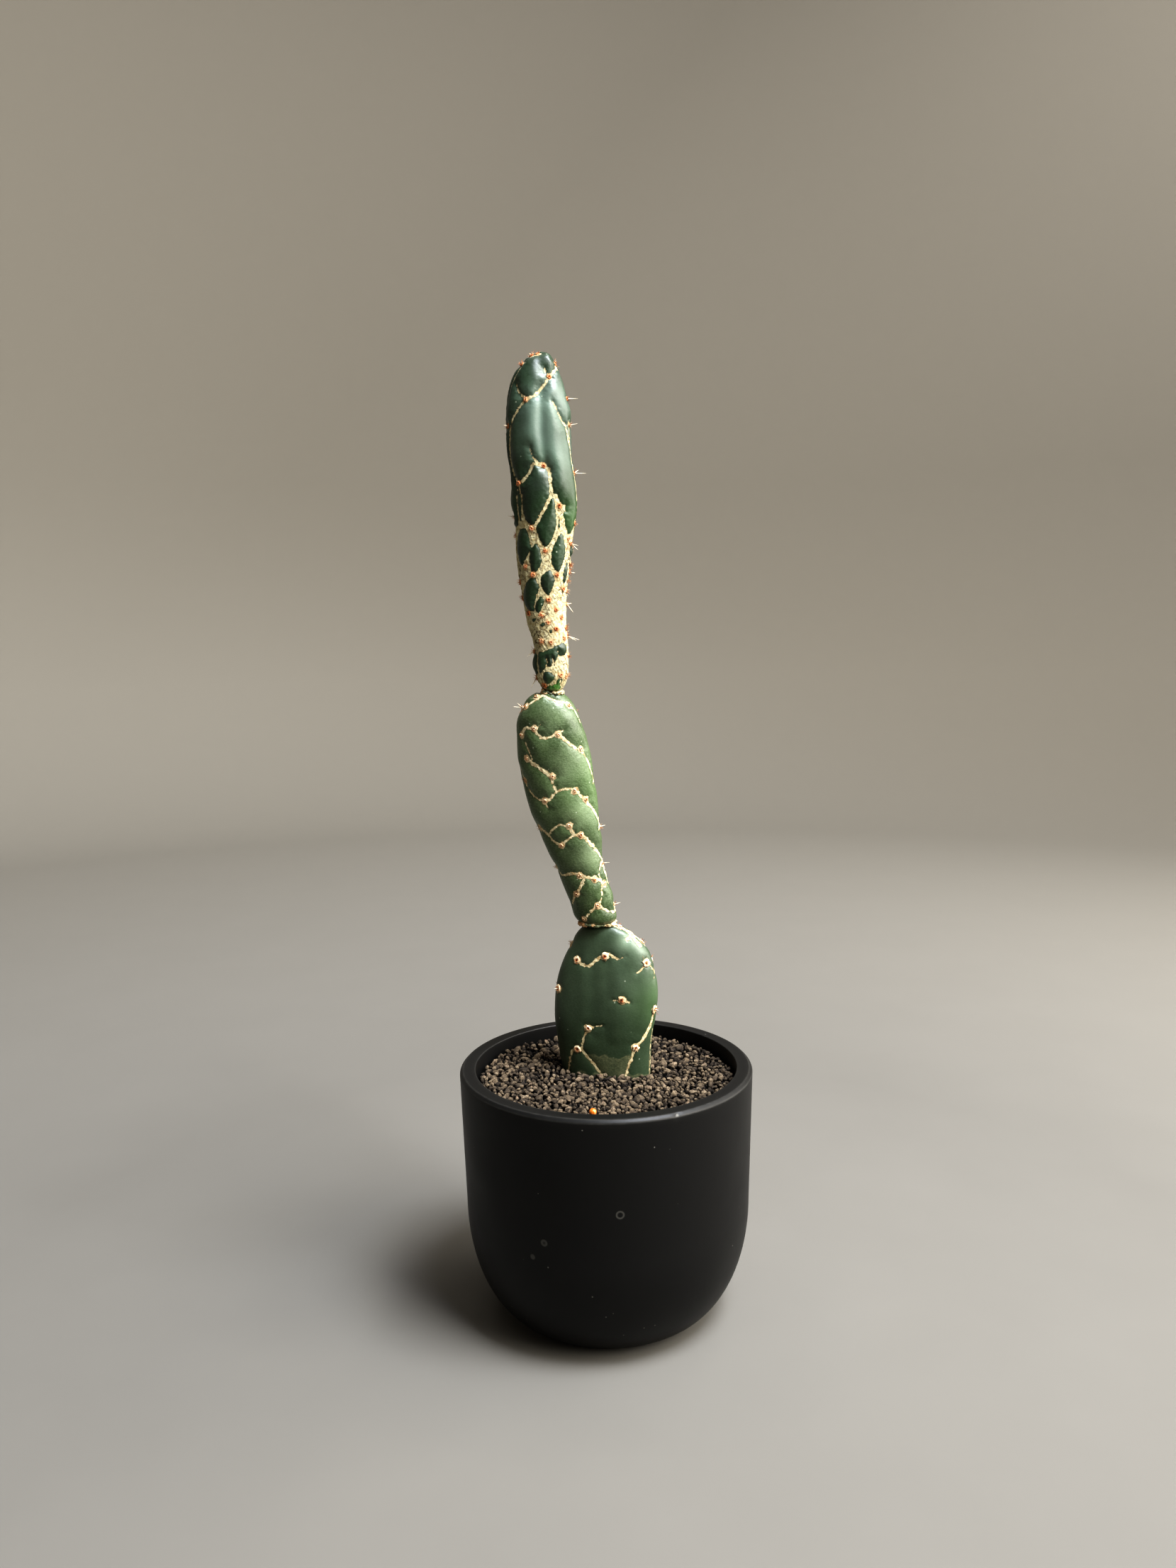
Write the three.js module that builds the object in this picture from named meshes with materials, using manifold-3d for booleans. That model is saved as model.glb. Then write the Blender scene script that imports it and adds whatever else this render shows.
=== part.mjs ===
// A potted paddle cactus: three stem pads standing one on the other in a round-bottomed black
// pot, with potting mix, a top dressing of volcanic gravel, roots, and the spine clusters that
// stand on the pads. Millimetres, +Z up, origin at the centre of the pot's foot.
import * as THREE from "three";
import { mergeVertices } from "three/addons/utils/BufferGeometryUtils.js";
import Module from "manifold-3d";

const wasm = await Module();
wasm.setup();

// ---------------------------------------------------------------- driving dimensions
const GAP = 0.3; // room left between pieces that touch

const POT_HEIGHT = 90;
const RIM_RADIUS = 52.5;
const RIM_CHAMFER = 1.1;
const RIM_INNER_RADIUS = 46.9;
const WALL_LOW = 41.6; // height where the straight wall turns into the round bottom
const WALL_LOW_RADIUS = 51.1;
const WALL_THICKNESS = 5.2;
const FOOT_RADIUS = 28.4;
const FOOT_RING_WIDTH = 6;
const FOOT_RECESS = 1.5;
const FLOOR_THICKNESS = 6;
const DRAIN_RADIUS = 6;

const MIX_TOP = 75;
const GRAVEL_EDGE = 84.2; // height of the gravel at the pot's wall
const GRAVEL_MOUND = 1.6; // how much higher it lies against the plant
const MOUND_REACH = 13;
const GRAVEL_RINGS = 7;

const PLANT_Y = 8; // the plant stands a little behind the pot's centre
const PRILL_RADIUS = 1.3;

// Each pad is a stack of level sections between its foot and its tip. The lists hold, at equal
// steps of height, the middle's side offset, the half width and the half thickness. The ends are
// then rounded off: an end's round begins `length` before the height where it would close.
const PADS = {
  basal_pad: {
    foot: 50,
    tip: 139.9,
    middle: [0.6, 0.6, 0.5, 0.5, 0.3, -0.1, -0.1, 0.7, 1.2, 1.6, -0.5],
    half: [10, 12.4, 14.4, 15.6, 16.3, 17.4, 18.4, 18.8, 18.6, 18.6, 18.5],
    thick: [5, 5.8, 6.5, 7, 7.3, 7.5, 7.6, 7.5, 7.2, 6.8, 6.5],
    depth: [0, 0],
    yaw: -14,
    squareness: 2.5,
    footRound: { closes: 49, length: 14, power: 2 },
    tipRound: { closes: 140.3, length: 27.3, power: 2 },
    colour: 0x3d5a3c,
  },
  middle_pad: {
    foot: 140.2,
    tip: 223.2,
    middle: [-2.3, -4.2, -6.9, -9.4, -11.3, -13.5, -15, -16.2, -17.4, -18.4, -18.5],
    half: [7.8, 8, 8.45, 9.4, 10.9, 12.05, 12.75, 12.9, 12.3, 11.7, 11.7],
    thick: [6, 6.2, 6.5, 7, 7.6, 8, 8.1, 8, 7.8, 7.4, 7],
    depth: [0, -3],
    yaw: -8,
    squareness: 2.1,
    footRound: { closes: 139.6, length: 5.9, power: 3.5 },
    tipRound: { closes: 224.2, length: 14.2, power: 2 },
    colour: 0x4f6f45,
  },
  top_pad: {
    foot: 223.5,
    tip: 339,
    middle: [
      -16.7, -16.9, -17, -18.4, -18.9, -19, -18.9, -18.2, -18.1, -18.6, -19.7, -20.1, -20, -20, -18.9,
    ],
    half: [5, 6.2, 6.3, 7.1, 8, 9.1, 9.9, 10.6, 11.3, 11.25, 11.2, 11.05, 10.9, 10.7, 10.6],
    thick: [4.8, 5.5, 5.7, 6.2, 6.8, 7.3, 7.7, 8, 8.2, 8.3, 8.3, 8.2, 8, 7.6, 7.4],
    depth: [-3, -3],
    yaw: 0,
    squareness: 2.1,
    footRound: { closes: 223, length: 6.5, power: 2.2 },
    tipRound: { closes: 339.01, length: 22, power: 2 },
    colour: 0x3f6152,
  },
};

// Spine clusters: height on the pad, the side they face in degrees (0 is the pad's front, 90 its
// right edge, -90 its left edge), and each spine's length and rise in degrees.
const CLUSTERS = {
  basal_pad: [
    [126.7, -36, [1.2, 0]],
    [126.4, 64, [1.6, 20]],
    [113.3, 18, [1.2, 10]],
    [131.5, -88, [1.4, 10]],
    [115.3, -66, [1.4, 0]],
    [102.1, -10, [1.4, 20]],
    [108.8, 80, [1.3, 10]],
  ],
  middle_pad: [
    [218.4, -72, [2.8, -20], [2.2, 15]],
    [219.2, 64, [1.3, 10]],
    [208.7, -54, [1.3, 0]],
    [209.3, 18, [1.2, 10]],
    [175.5, 94, [1.4, 10]],
    [162.2, 80, [2.2, 0]],
    [146.8, 92, [1.8, 0]],
  ],
  top_pad: [
    [323.5, 86, [3.4, -12]],
    [314.6, 82, [2.4, 5]],
    [298.9, 88, [3.6, -8], [1.5, 30]],
    [274.5, 72, [2.2, -5], [2.6, -35]],
    [265, 88, [1.6, 5]],
    [254.3, 90, [3, -45], [1.4, 10]],
    [242.9, 90, [3.8, -18], [3, -30]],
    [314.5, -70, [1.2, 10]],
    [284.2, -88, [1.9, 20]],
    [238, -87, [2.4, -30]],
    [330.2, 30, [1.3, 20]],
    [322.3, -20, [1.3, 10]],
    [300.5, 4, [1.3, 10]],
    [286.9, 26, [1.2, 0]],
    [272, 4, [1.2, -10]],
  ],
};
const FELT_RADIUS = 1.05;
const FELT_HEIGHT = 0.4; // half the cushion's thickness
const SPINE_RADIUS = 0.3;

const ROOT_COUNT = 6;
const CROWN_RADIUS = 4;
const ROOT_CROWN = PADS.basal_pad.foot - GAP - CROWN_RADIUS; // the crown meets the pad's foot
const ROOT_REACH = 33;
const ROOT_LOW = 14;
const ROOT_RADIUS = 2.1;
const ROOT_TIP_RADIUS = 0.6;

// ---------------------------------------------------------------- helpers
const degrees = THREE.MathUtils.degToRad;
const Z = new THREE.Vector3(0, 0, 1);

// Turns a closed geometry into a solid that can be joined and cut.
function solid(geometry) {
  const bare = geometry.clone();
  bare.deleteAttribute("normal");
  bare.deleteAttribute("uv");
  const merged = mergeVertices(bare, 1e-4);
  return new wasm.Manifold(
    new wasm.Mesh({
      numProp: 3,
      vertProperties: merged.attributes.position.array,
      triVerts: new Uint32Array(merged.index.array),
    }),
  );
}

// Turns a solid back into a geometry.
function geometryOf(body) {
  const mesh = body.getMesh();
  const geometry = new THREE.BufferGeometry();
  geometry.setAttribute("position", new THREE.BufferAttribute(mesh.vertProperties, 3));
  geometry.setIndex(new THREE.BufferAttribute(mesh.triVerts, 1));
  geometry.computeVertexNormals();
  return geometry;
}

function piece(name, geometry, colour, roughness) {
  const material = new THREE.MeshStandardMaterial({ color: colour, roughness, metalness: 0 });
  const mesh = new THREE.Mesh(geometry, material);
  mesh.name = name;
  return mesh;
}

// A profile of [radius, height] turned about the upright axis.
function turned(profile, segments) {
  const points = profile.map(([radius, height]) => new THREE.Vector2(radius, height));
  return new THREE.LatheGeometry(points, segments).rotateX(Math.PI / 2);
}

// A quarter of an ellipse in the profile plane, from the level end to the upright end.
function quarterEllipse(centreRadius, centreHeight, across, down, steps) {
  const points = [];
  for (let i = 0; i <= steps; i += 1) {
    const angle = (i / steps) * (Math.PI / 2);
    points.push([centreRadius + across * Math.sin(angle), centreHeight - down * Math.cos(angle)]);
  }
  return points;
}

// A closed cylinder whose rings are moved onto given sections: place(t, angle, reach) returns the
// point at share t of the length, in direction angle, at share reach from middle to skin.
function drawn(place, around, rings) {
  const geometry = new THREE.CylinderGeometry(1, 1, 1, around, rings);
  const position = geometry.attributes.position;
  for (let i = 0; i < position.count; i += 1) {
    const x = position.getX(i);
    const y = position.getZ(i);
    const point = place(position.getY(i) + 0.5, Math.atan2(-y, x), Math.hypot(x, y));
    position.setXYZ(i, point.x, point.y, point.z);
  }
  return geometry;
}

// The value at share t of a list given at equal steps, along a smooth curve through them.
function along(list, t) {
  const curve = new THREE.SplineCurve(list.map((value, i) => new THREE.Vector2(i, value)));
  return curve.getPoint(t).y;
}

// ---------------------------------------------------------------- pot
const INNER_LOW_RADIUS = WALL_LOW_RADIUS - WALL_THICKNESS;
const INNER_FLOOR_RADIUS = FOOT_RADIUS - 3;

// The inner radius of the straight wall at a height.
function wallRadius(height) {
  const share = (height - WALL_LOW) / (POT_HEIGHT - WALL_LOW);
  return THREE.MathUtils.lerp(INNER_LOW_RADIUS, RIM_INNER_RADIUS, share);
}

// The inner wall's outline from the floor's edge up to a height, moved inwards by a clearance.
function innerWall(clearance, top) {
  const floor = FLOOR_THICKNESS + clearance;
  const across = INNER_LOW_RADIUS - INNER_FLOOR_RADIUS;
  const bowl = quarterEllipse(INNER_FLOOR_RADIUS - clearance, WALL_LOW, across, WALL_LOW - floor, 7);
  return [...bowl, [wallRadius(top) - clearance, top]];
}

function potGeometry() {
  const bottom = quarterEllipse(FOOT_RADIUS, WALL_LOW, WALL_LOW_RADIUS - FOOT_RADIUS, WALL_LOW, 9);
  const recessRadius = FOOT_RADIUS - FOOT_RING_WIDTH;
  const profile = [
    [DRAIN_RADIUS, FOOT_RECESS],
    [recessRadius - FOOT_RECESS, FOOT_RECESS],
    [recessRadius, 0],
    ...bottom,
    [RIM_RADIUS, POT_HEIGHT - RIM_CHAMFER],
    [RIM_RADIUS - RIM_CHAMFER, POT_HEIGHT],
    ...innerWall(0, POT_HEIGHT).reverse(),
    [DRAIN_RADIUS, FLOOR_THICKNESS],
    [DRAIN_RADIUS, FOOT_RECESS],
  ];
  return turned(profile, 48);
}

// ---------------------------------------------------------------- pads
// How much of its full width a pad keeps at a height, where one end rounds off.
function rounding(distance, round) {
  if (distance >= round.length) return 1;
  const share = 1 - distance / round.length;
  return (1 - share ** round.power) ** (1 / round.power);
}

// The section of a pad at a height: its middle, half width and half thickness.
function section(pad, height) {
  const share = (height - pad.foot) / (pad.tip - pad.foot);
  const foot = rounding(height - pad.footRound.closes, pad.footRound);
  const tip = rounding(pad.tipRound.closes - height, pad.tipRound);
  return {
    x: along(pad.middle, share),
    y: THREE.MathUtils.lerp(pad.depth[0], pad.depth[1], share),
    half: along(pad.half, share) * foot * tip,
    thick: along(pad.thick, share) * (foot * tip) ** 0.6,
  };
}

// The point of a pad's skin at a height, facing a side given in radians (0 is the front).
function skinPoint(pad, height, side, grow = 0, reach = 1) {
  const { x, y, half, thick } = section(pad, height);
  const power = 2 / pad.squareness;
  const across = Math.sign(Math.sin(side)) * Math.abs(Math.sin(side)) ** power * (half + grow);
  const front = Math.sign(Math.cos(side)) * Math.abs(Math.cos(side)) ** power * (thick + grow);
  const point = new THREE.Vector3(across, -front, 0).multiplyScalar(reach);
  return point.applyAxisAngle(Z, degrees(pad.yaw)).add(new THREE.Vector3(x, y, height));
}

// A pad as a closed body, with its rings closer together towards both ends.
function padGeometry(pad, around, rings, grow = 0) {
  const place = (t, angle, reach) => {
    const eased = 0.35 * t + 0.65 * (0.5 - 0.5 * Math.cos(Math.PI * t));
    const height = THREE.MathUtils.lerp(pad.foot, pad.tip, eased);
    const point = skinPoint(pad, height, angle, grow, reach);
    point.z += t === 0 ? -grow : 0;
    return point;
  };
  return drawn(place, around, rings);
}

// ---------------------------------------------------------------- roots
// One tapering root from the crown out and down to near the pot's floor.
function rootGeometry(index, grow) {
  const turn = (index / ROOT_COUNT) * 2 * Math.PI + 0.3;
  const reach = ROOT_REACH * (index % 2 ? 0.72 : 1);
  const low = ROOT_LOW + (index % 3) * 6;
  const out = new THREE.Vector3(Math.cos(turn), Math.sin(turn), 0);
  const side = new THREE.Vector3(-out.y, out.x, 0);
  const path = new THREE.CatmullRomCurve3([
    new THREE.Vector3(0, 0, ROOT_CROWN - 1),
    out.clone().multiplyScalar(reach * 0.35).add(new THREE.Vector3(0, 0, ROOT_CROWN - 8)),
    out.clone().multiplyScalar(reach * 0.7).addScaledVector(side, 4).setZ((ROOT_CROWN + low) / 2),
    out.clone().multiplyScalar(reach * 0.85).addScaledVector(side, 1).setZ(low),
  ]);
  const place = (t, angle, ring) => {
    const ahead = path.getTangent(t);
    const first = new THREE.Vector3().crossVectors(ahead, side).normalize();
    const second = new THREE.Vector3().crossVectors(ahead, first);
    const radius = (THREE.MathUtils.lerp(ROOT_RADIUS, ROOT_TIP_RADIUS, t) + grow) * ring;
    const centre = path.getPoint(t).addScaledVector(ahead, t === 1 ? grow : 0);
    return centre
      .addScaledVector(first, radius * Math.cos(angle))
      .addScaledVector(second, radius * Math.sin(angle));
  };
  return drawn(place, 7, 7);
}

function rootsSolid(grow = 0) {
  const crown = new THREE.SphereGeometry(CROWN_RADIUS + grow, 12, 8).translate(0, 0, ROOT_CROWN);
  let joined = solid(crown);
  for (let index = 0; index < ROOT_COUNT; index += 1) {
    joined = joined.add(solid(rootGeometry(index, grow)));
  }
  return joined;
}

// ---------------------------------------------------------------- soil
// How high the gravel lies at a place on the pot's plan: level, a little uneven, and mounded
// against the plant.
function gravelHeight(x, y) {
  const nearness = Math.hypot(x, y - PLANT_Y) / MOUND_REACH;
  const uneven = 0.35 * Math.sin(x * 0.17 + 1) * Math.cos(y * 0.21);
  return GRAVEL_EDGE + uneven + GRAVEL_MOUND * Math.exp(-(nearness ** 2));
}

// The hollow that a piece of the plant keeps clear in the soil around it.
function padHollow() {
  return solid(padGeometry(PADS.basal_pad, 24, 22, GAP).translate(0, PLANT_Y, 0));
}

function mixGeometry() {
  const wall = innerWall(GAP, MIX_TOP);
  const filling = solid(turned([[0, FLOOR_THICKNESS + GAP], ...wall, [0, MIX_TOP]], 36));
  const rootHollow = rootsSolid(GAP).translate([0, PLANT_Y, 0]);
  return geometryOf(filling.subtract(padHollow()).subtract(rootHollow));
}

function gravelGeometry() {
  const bottom = MIX_TOP + GAP;
  const edge = wallRadius(GRAVEL_EDGE) - GAP;
  const outline = [[0, bottom], [wallRadius(bottom) - GAP, bottom]];
  for (let ring = 0; ring <= GRAVEL_RINGS; ring += 1) {
    outline.push([edge * (1 - ring / GRAVEL_RINGS), GRAVEL_EDGE]);
  }
  const layer = turned(outline, 36);
  const position = layer.attributes.position;
  for (let i = 0; i < position.count; i += 1) {
    if (position.getZ(i) > GRAVEL_EDGE - 0.01) {
      position.setZ(i, gravelHeight(position.getX(i), position.getY(i)));
    }
  }
  return geometryOf(solid(layer).subtract(padHollow()));
}

function prill() {
  const [x, y] = [-5, -35];
  const mesh = piece("fertiliser_prill", new THREE.SphereGeometry(PRILL_RADIUS, 12, 8), 0xb8722c, 0.4);
  mesh.position.set(x, y, gravelHeight(x, y) + GAP + PRILL_RADIUS);
  return mesh;
}

// ---------------------------------------------------------------- spine clusters
// A felt cushion with its spines, built about the origin and facing +Z.
function clusterGeometry(spines) {
  const dome = new THREE.SphereGeometry(FELT_RADIUS, 10, 6).rotateX(Math.PI / 2);
  let joined = solid(dome.scale(1, 1, FELT_HEIGHT / FELT_RADIUS).translate(0, 0, FELT_HEIGHT));
  spines.forEach(([length, rise], index) => {
    const spine = new THREE.ConeGeometry(SPINE_RADIUS, length + FELT_HEIGHT, 6);
    spine.rotateX(Math.PI / 2).translate(0, 0, (length + FELT_HEIGHT) / 2);
    spine.rotateX(degrees(-rise)).rotateY(degrees(index * 14)).translate(0, 0, FELT_HEIGHT * 0.6);
    joined = joined.add(solid(spine));
  });
  return geometryOf(joined);
}

// The outward direction of a pad's skin, from three nearby points of it.
function skinNormal(pad, height, side) {
  const step = 0.02;
  const here = skinPoint(pad, height, side);
  const beside = skinPoint(pad, height, side + step).sub(here);
  const above = skinPoint(pad, height + step * 10, side).sub(here);
  return beside.cross(above).normalize();
}

function spineClusters(padName) {
  return CLUSTERS[padName].map(([height, side, ...spines], index) => {
    const name = `${padName}_spines_${String(index + 1).padStart(2, "0")}`;
    const mesh = piece(name, clusterGeometry(spines), 0xb0683a, 0.8);
    const pad = PADS[padName];
    const facing = degrees(side);
    const normal = skinNormal(pad, height, facing);
    const upright = new THREE.Vector3().copy(Z).addScaledVector(normal, -normal.z).normalize();
    const level = new THREE.Vector3().crossVectors(upright, normal);
    mesh.quaternion.setFromRotationMatrix(new THREE.Matrix4().makeBasis(level, upright, normal));
    mesh.position.copy(skinPoint(pad, height, facing)).addScaledVector(normal, GAP);
    return mesh;
  });
}

// ---------------------------------------------------------------- assembly
const pot = piece("pot", potGeometry(), 0x1c1c1b, 0.55);

const soil = new THREE.Group();
soil.add(piece("potting_mix", mixGeometry(), 0x2e241c, 1));
soil.add(piece("gravel_top_dressing", gravelGeometry(), 0x6b5c50, 0.95));
soil.add(prill());

const plant = new THREE.Group();
plant.position.y = PLANT_Y;
plant.add(piece("roots", geometryOf(rootsSolid()), 0xa88c66, 0.9));
const RINGS = { basal_pad: 22, middle_pad: 24, top_pad: 30 };
for (const [name, pad] of Object.entries(PADS)) {
  plant.add(piece(name, padGeometry(pad, 24, RINGS[name]), pad.colour, 0.5));
  plant.add(...spineClusters(name));
}

const cactus = new THREE.Group();
cactus.add(pot, soil, plant);

export default cactus;
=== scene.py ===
# %% [markdown]
# # A paddle cactus in a round-bottomed black pot
#
# Three stem pads stand one on the other in volcanic gravel. Cream cork runs over their skin in a
# net, and at its knots sit felt cushions with bristles and spines. The CAD frame gives every piece
# its place and size. Here each visible piece is made again as a fine mesh in the same place, and
# gets a finish worked out from what the real one is made of.

# %% The frame
import math
import bmesh
import bpy
import numpy as np
from mathutils import Matrix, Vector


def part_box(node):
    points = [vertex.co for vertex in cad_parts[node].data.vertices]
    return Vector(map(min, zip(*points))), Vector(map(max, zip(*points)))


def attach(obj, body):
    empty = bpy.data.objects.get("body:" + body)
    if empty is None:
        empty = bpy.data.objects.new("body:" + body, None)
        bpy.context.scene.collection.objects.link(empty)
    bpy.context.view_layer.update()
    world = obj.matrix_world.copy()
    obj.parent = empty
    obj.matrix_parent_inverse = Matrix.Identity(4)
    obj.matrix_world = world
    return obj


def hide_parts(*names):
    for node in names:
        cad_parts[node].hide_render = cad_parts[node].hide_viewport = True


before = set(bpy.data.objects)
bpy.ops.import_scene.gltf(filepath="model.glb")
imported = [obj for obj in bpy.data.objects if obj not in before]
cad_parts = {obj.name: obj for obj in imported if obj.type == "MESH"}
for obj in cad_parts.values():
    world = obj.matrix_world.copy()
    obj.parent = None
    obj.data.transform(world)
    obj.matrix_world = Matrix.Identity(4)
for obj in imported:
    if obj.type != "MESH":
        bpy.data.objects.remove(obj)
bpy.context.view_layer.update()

MM = 0.001

# %% [markdown]
# ## Tools of the bench
#
# Every shape below is first worked out as an array of points in millimetres. One function turns
# such an array into an object that rides on the frame, and keeps extra values on its points, such
# as how far a point lies from the nearest cork. The materials read those values back.

# %% Making a piece
def make_piece(name, points, faces, material, slot=None, replaced=(), **values):
    """An object from points in millimetres. Extra values are kept on its points by name."""
    mesh = bpy.data.meshes.new(name)
    mesh.from_pydata(np.asarray(points, float) * MM, [], faces)
    for key, value in values.items():
        kept = mesh.attributes.new(key, "FLOAT", "POINT")
        kept.data.foreach_set("value", np.asarray(value, np.float32).ravel())
    mesh.materials.append(material)
    mesh.shade_smooth()
    piece = bpy.data.objects.new(name, mesh)
    bpy.context.scene.collection.objects.link(piece)
    if slot is None:
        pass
    else:
        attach(piece, "root")
        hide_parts(*replaced)
    print(f"{name}: {len(mesh.vertices)} points, {len(mesh.polygons)} faces")
    return piece

# %% [markdown]
# Most shapes here are rows of rings: the pot and the felt are turned, and the pads, their crusts
# and the spines are lofted. Blender could spin or skin a curve, but rings worked out as arrays
# can be shaped point by point. So one function makes the faces between rings, and another turns
# a profile.

# %% Rings and turned shapes
def ring_faces(rows, columns, closed=False):
    """Four-sided faces between rings of points, facing out where the rings go up."""
    row = np.arange(rows if closed else rows - 1)[:, None]
    column = np.arange(columns)[None]
    here, above = row * columns, (row + 1) % rows * columns
    beside = (column + 1) % columns
    return np.stack([here + column, here + beside, above + beside, above + column], -1).reshape(-1, 4)


def turned(profile, segments, closed=False):
    """A profile of (radius, height) turned about the upright axis."""
    profile = np.asarray(profile, float)
    turn = np.arange(segments) * 2 * np.pi / segments
    across, height = profile[:, :1], np.repeat(profile[:, 1:2], segments, 1)
    points = np.stack([across * np.cos(turn), across * np.sin(turn), height], -1)
    return points.reshape(-1, 3), ring_faces(len(profile), segments, closed)


print(len(ring_faces(3, 8)), "faces join 3 rings of 8 points")

# %% [markdown]
# Colours are picked as sRGB hex, as they look on a screen, and turned to the linear values that
# the nodes work in. Patterns are sized by the real distance between their features.
#
# Every material starts the same way and gets its own function for adding nodes. That function
# sets or links the new node's inputs and hands back one of its outputs, ready for the next node.

# %% Material helpers
COLOURS = {"out": 2, "data_type": "RGBA"}  # for a Mix node: input 0 is the share, 6 and 7 the colours


def linear(hex_colour):
    """An sRGB colour such as "3d5a3c" as linear red, green, blue and alpha."""
    channels = [int(hex_colour[i : i + 2], 16) / 255 for i in (0, 2, 4)]
    return [c / 12.92 if c <= 0.04045 else ((c + 0.055) / 1.055) ** 2.4 for c in channels] + [1]


def every(spacing):
    """The texture scale at which features lie this many millimetres apart."""
    return 1 / (spacing * MM)


def connect(node, inputs):
    """Sets a node's inputs to numbers or hex colours, or links them to other nodes' outputs."""
    for key, value in inputs.items():
        if isinstance(value, bpy.types.NodeSocket):
            node.id_data.links.new(value, node.inputs[key])
        else:
            node.inputs[key].default_value = linear(value) if isinstance(value, str) else value


def start_material(name, ior, roughness):
    """A new material, its shader, its function for adding nodes, and the place on the object."""
    material = bpy.data.materials.new(name)
    material.use_nodes = True
    shader = material.node_tree.nodes["Principled BSDF"]
    connect(shader, {"IOR": ior, "Roughness": roughness})
    print(f"material {name}: IOR {ior}, roughness {roughness}")

    def add(kind, inputs=None, out=0, stops=None, **settings):
        """Adds a node with its settings, inputs and colour stops, and gives one of its outputs."""
        node = material.node_tree.nodes.new("ShaderNode" + kind)
        for key, value in settings.items():
            setattr(node, key, value)
        if stops:
            elements = node.color_ramp.elements
            for place in list(stops)[1:-1]:
                elements.new(place)
            for element, (place, colour) in zip(elements, stops.items()):
                element.position = place
                element.color = linear(colour)
        connect(node, inputs or {})
        return node.outputs[out]

    return material, shader, add, add("TexCoord", out="Object")


print("mid grey 808080 is", round(linear("808080")[0], 3), "in linear light")

# %% [markdown]
# ## Camera
#
# The photo was taken by a phone held a little above the plant. The place and the tilt come from
# the ellipse of the pot's rim and from the upright walls, and the lens from the same fit. Pixels
# are those of the photo's own frame, 1659 by 2212, and the long side is the sensor's 36 mm.

# %% Camera
PHOTO_HEIGHT = 2212
FOCAL_PIXELS = 1661
SENSOR = 36
CAMERA_PLACE = (-4.83, -410.66, 240.26)
PITCH_DOWN, ROLL = math.radians(6.78), math.radians(-0.93)

camera = bpy.data.objects.new("camera", bpy.data.cameras.new("camera"))
bpy.context.scene.collection.objects.link(camera)
camera.data.sensor_width = SENSOR
camera.data.lens = FOCAL_PIXELS / PHOTO_HEIGHT * SENSOR
camera.data.clip_start = 10 * MM
right = np.array([1, 0, 0])
up = np.array([0, math.sin(PITCH_DOWN), math.cos(PITCH_DOWN)])
ahead = np.cross(up, right)
camera_axes = np.eye(4)
camera_axes[:3, 0] = right * math.cos(ROLL) + up * math.sin(ROLL)
camera_axes[:3, 1] = up * math.cos(ROLL) - right * math.sin(ROLL)
camera_axes[:3, 2] = -ahead
camera_axes[:3, 3] = np.array(CAMERA_PLACE) * MM
camera.matrix_world = Matrix(camera_axes.tolist())
bpy.context.scene.camera = camera
print(f"camera with a {camera.data.lens:.2f} mm lens")

# %% [markdown]
# ## Studio
#
# The object stands on a pale floor that curves up into a pale wall all round, so it has the same
# plain ground from every side. In the photo a large window on the right lights the plant: the
# left flanks fall almost to black, and broad soft highlights lie right of the middle. So one big
# soft light stands to the right and a little in front, a weaker one behind it and a small one
# overhead. An all-round sky would be simpler, but it would light the left flanks too. Four lights
# aimed at the walls keep the ground pale from every side.

# %% Studio floor and wall
FLOOR_RADIUS, SWEEP_RADIUS, WALL_TOP = 1100, 500, 1900
FLOOR_PAINT_TO, WALL_PAINT_FROM = 250, 1500  # how far out each shade reaches, in mm
BELOW_FOOT = 0.05  # the floor lies a hair below the pot's foot
SWEEP_SEGMENTS = 96


def matt_studio_paint():
    """Matt emulsion paint, rolled on: dead flat, with a faint mottle. The middle gets more light
    than the wall, so the paint is a shade darker there and the two come out alike."""
    material, shader, add, place = start_material("matt_emulsion_paint_rolled", 1.5, 0.9)
    mottle = add("TexNoise", {"Vector": place, "Scale": every(60), "Detail": 3})
    away = add("VectorMath", {0: place}, "Value", operation="LENGTH")
    outward = add("MapRange", {
        "Value": away, "From Min": FLOOR_PAINT_TO * MM, "From Max": WALL_PAINT_FROM * MM})
    floor = add("Mix", {0: mottle, 6: "686661", 7: "6c6a65"}, **COLOURS)
    colour = add("Mix", {0: outward, 6: floor, 7: "a5a29b"}, **COLOURS)
    connect(shader, {"Base Color": colour})
    return material


bend = np.radians(np.arange(0, 91, 6))
sweep = [(1, 0), (300, 0), (700, 0), *np.stack(
    [FLOOR_RADIUS + SWEEP_RADIUS * np.sin(bend), SWEEP_RADIUS * (1 - np.cos(bend))], -1)]
sweep.append((FLOOR_RADIUS + SWEEP_RADIUS, WALL_TOP))
sweep_points, sweep_faces = turned(sweep, SWEEP_SEGMENTS)
sweep_points[:, 2] -= BELOW_FOOT
make_piece("studio_sweep", sweep_points, sweep_faces[:, ::-1], matt_studio_paint())


# %% Light
PLANT_MIDDLE = (-10, 5, 200)
DAYLIGHT, COOL_SKY, WALL_WHITE = "fffaf2", "eef4ff", "fffaf4"
WALL_LIGHTS = [("back", 0, 1, 7), ("front", 0, -1, 5), ("right", 1, 0, 12), ("left", -1, 0, 1)]


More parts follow.
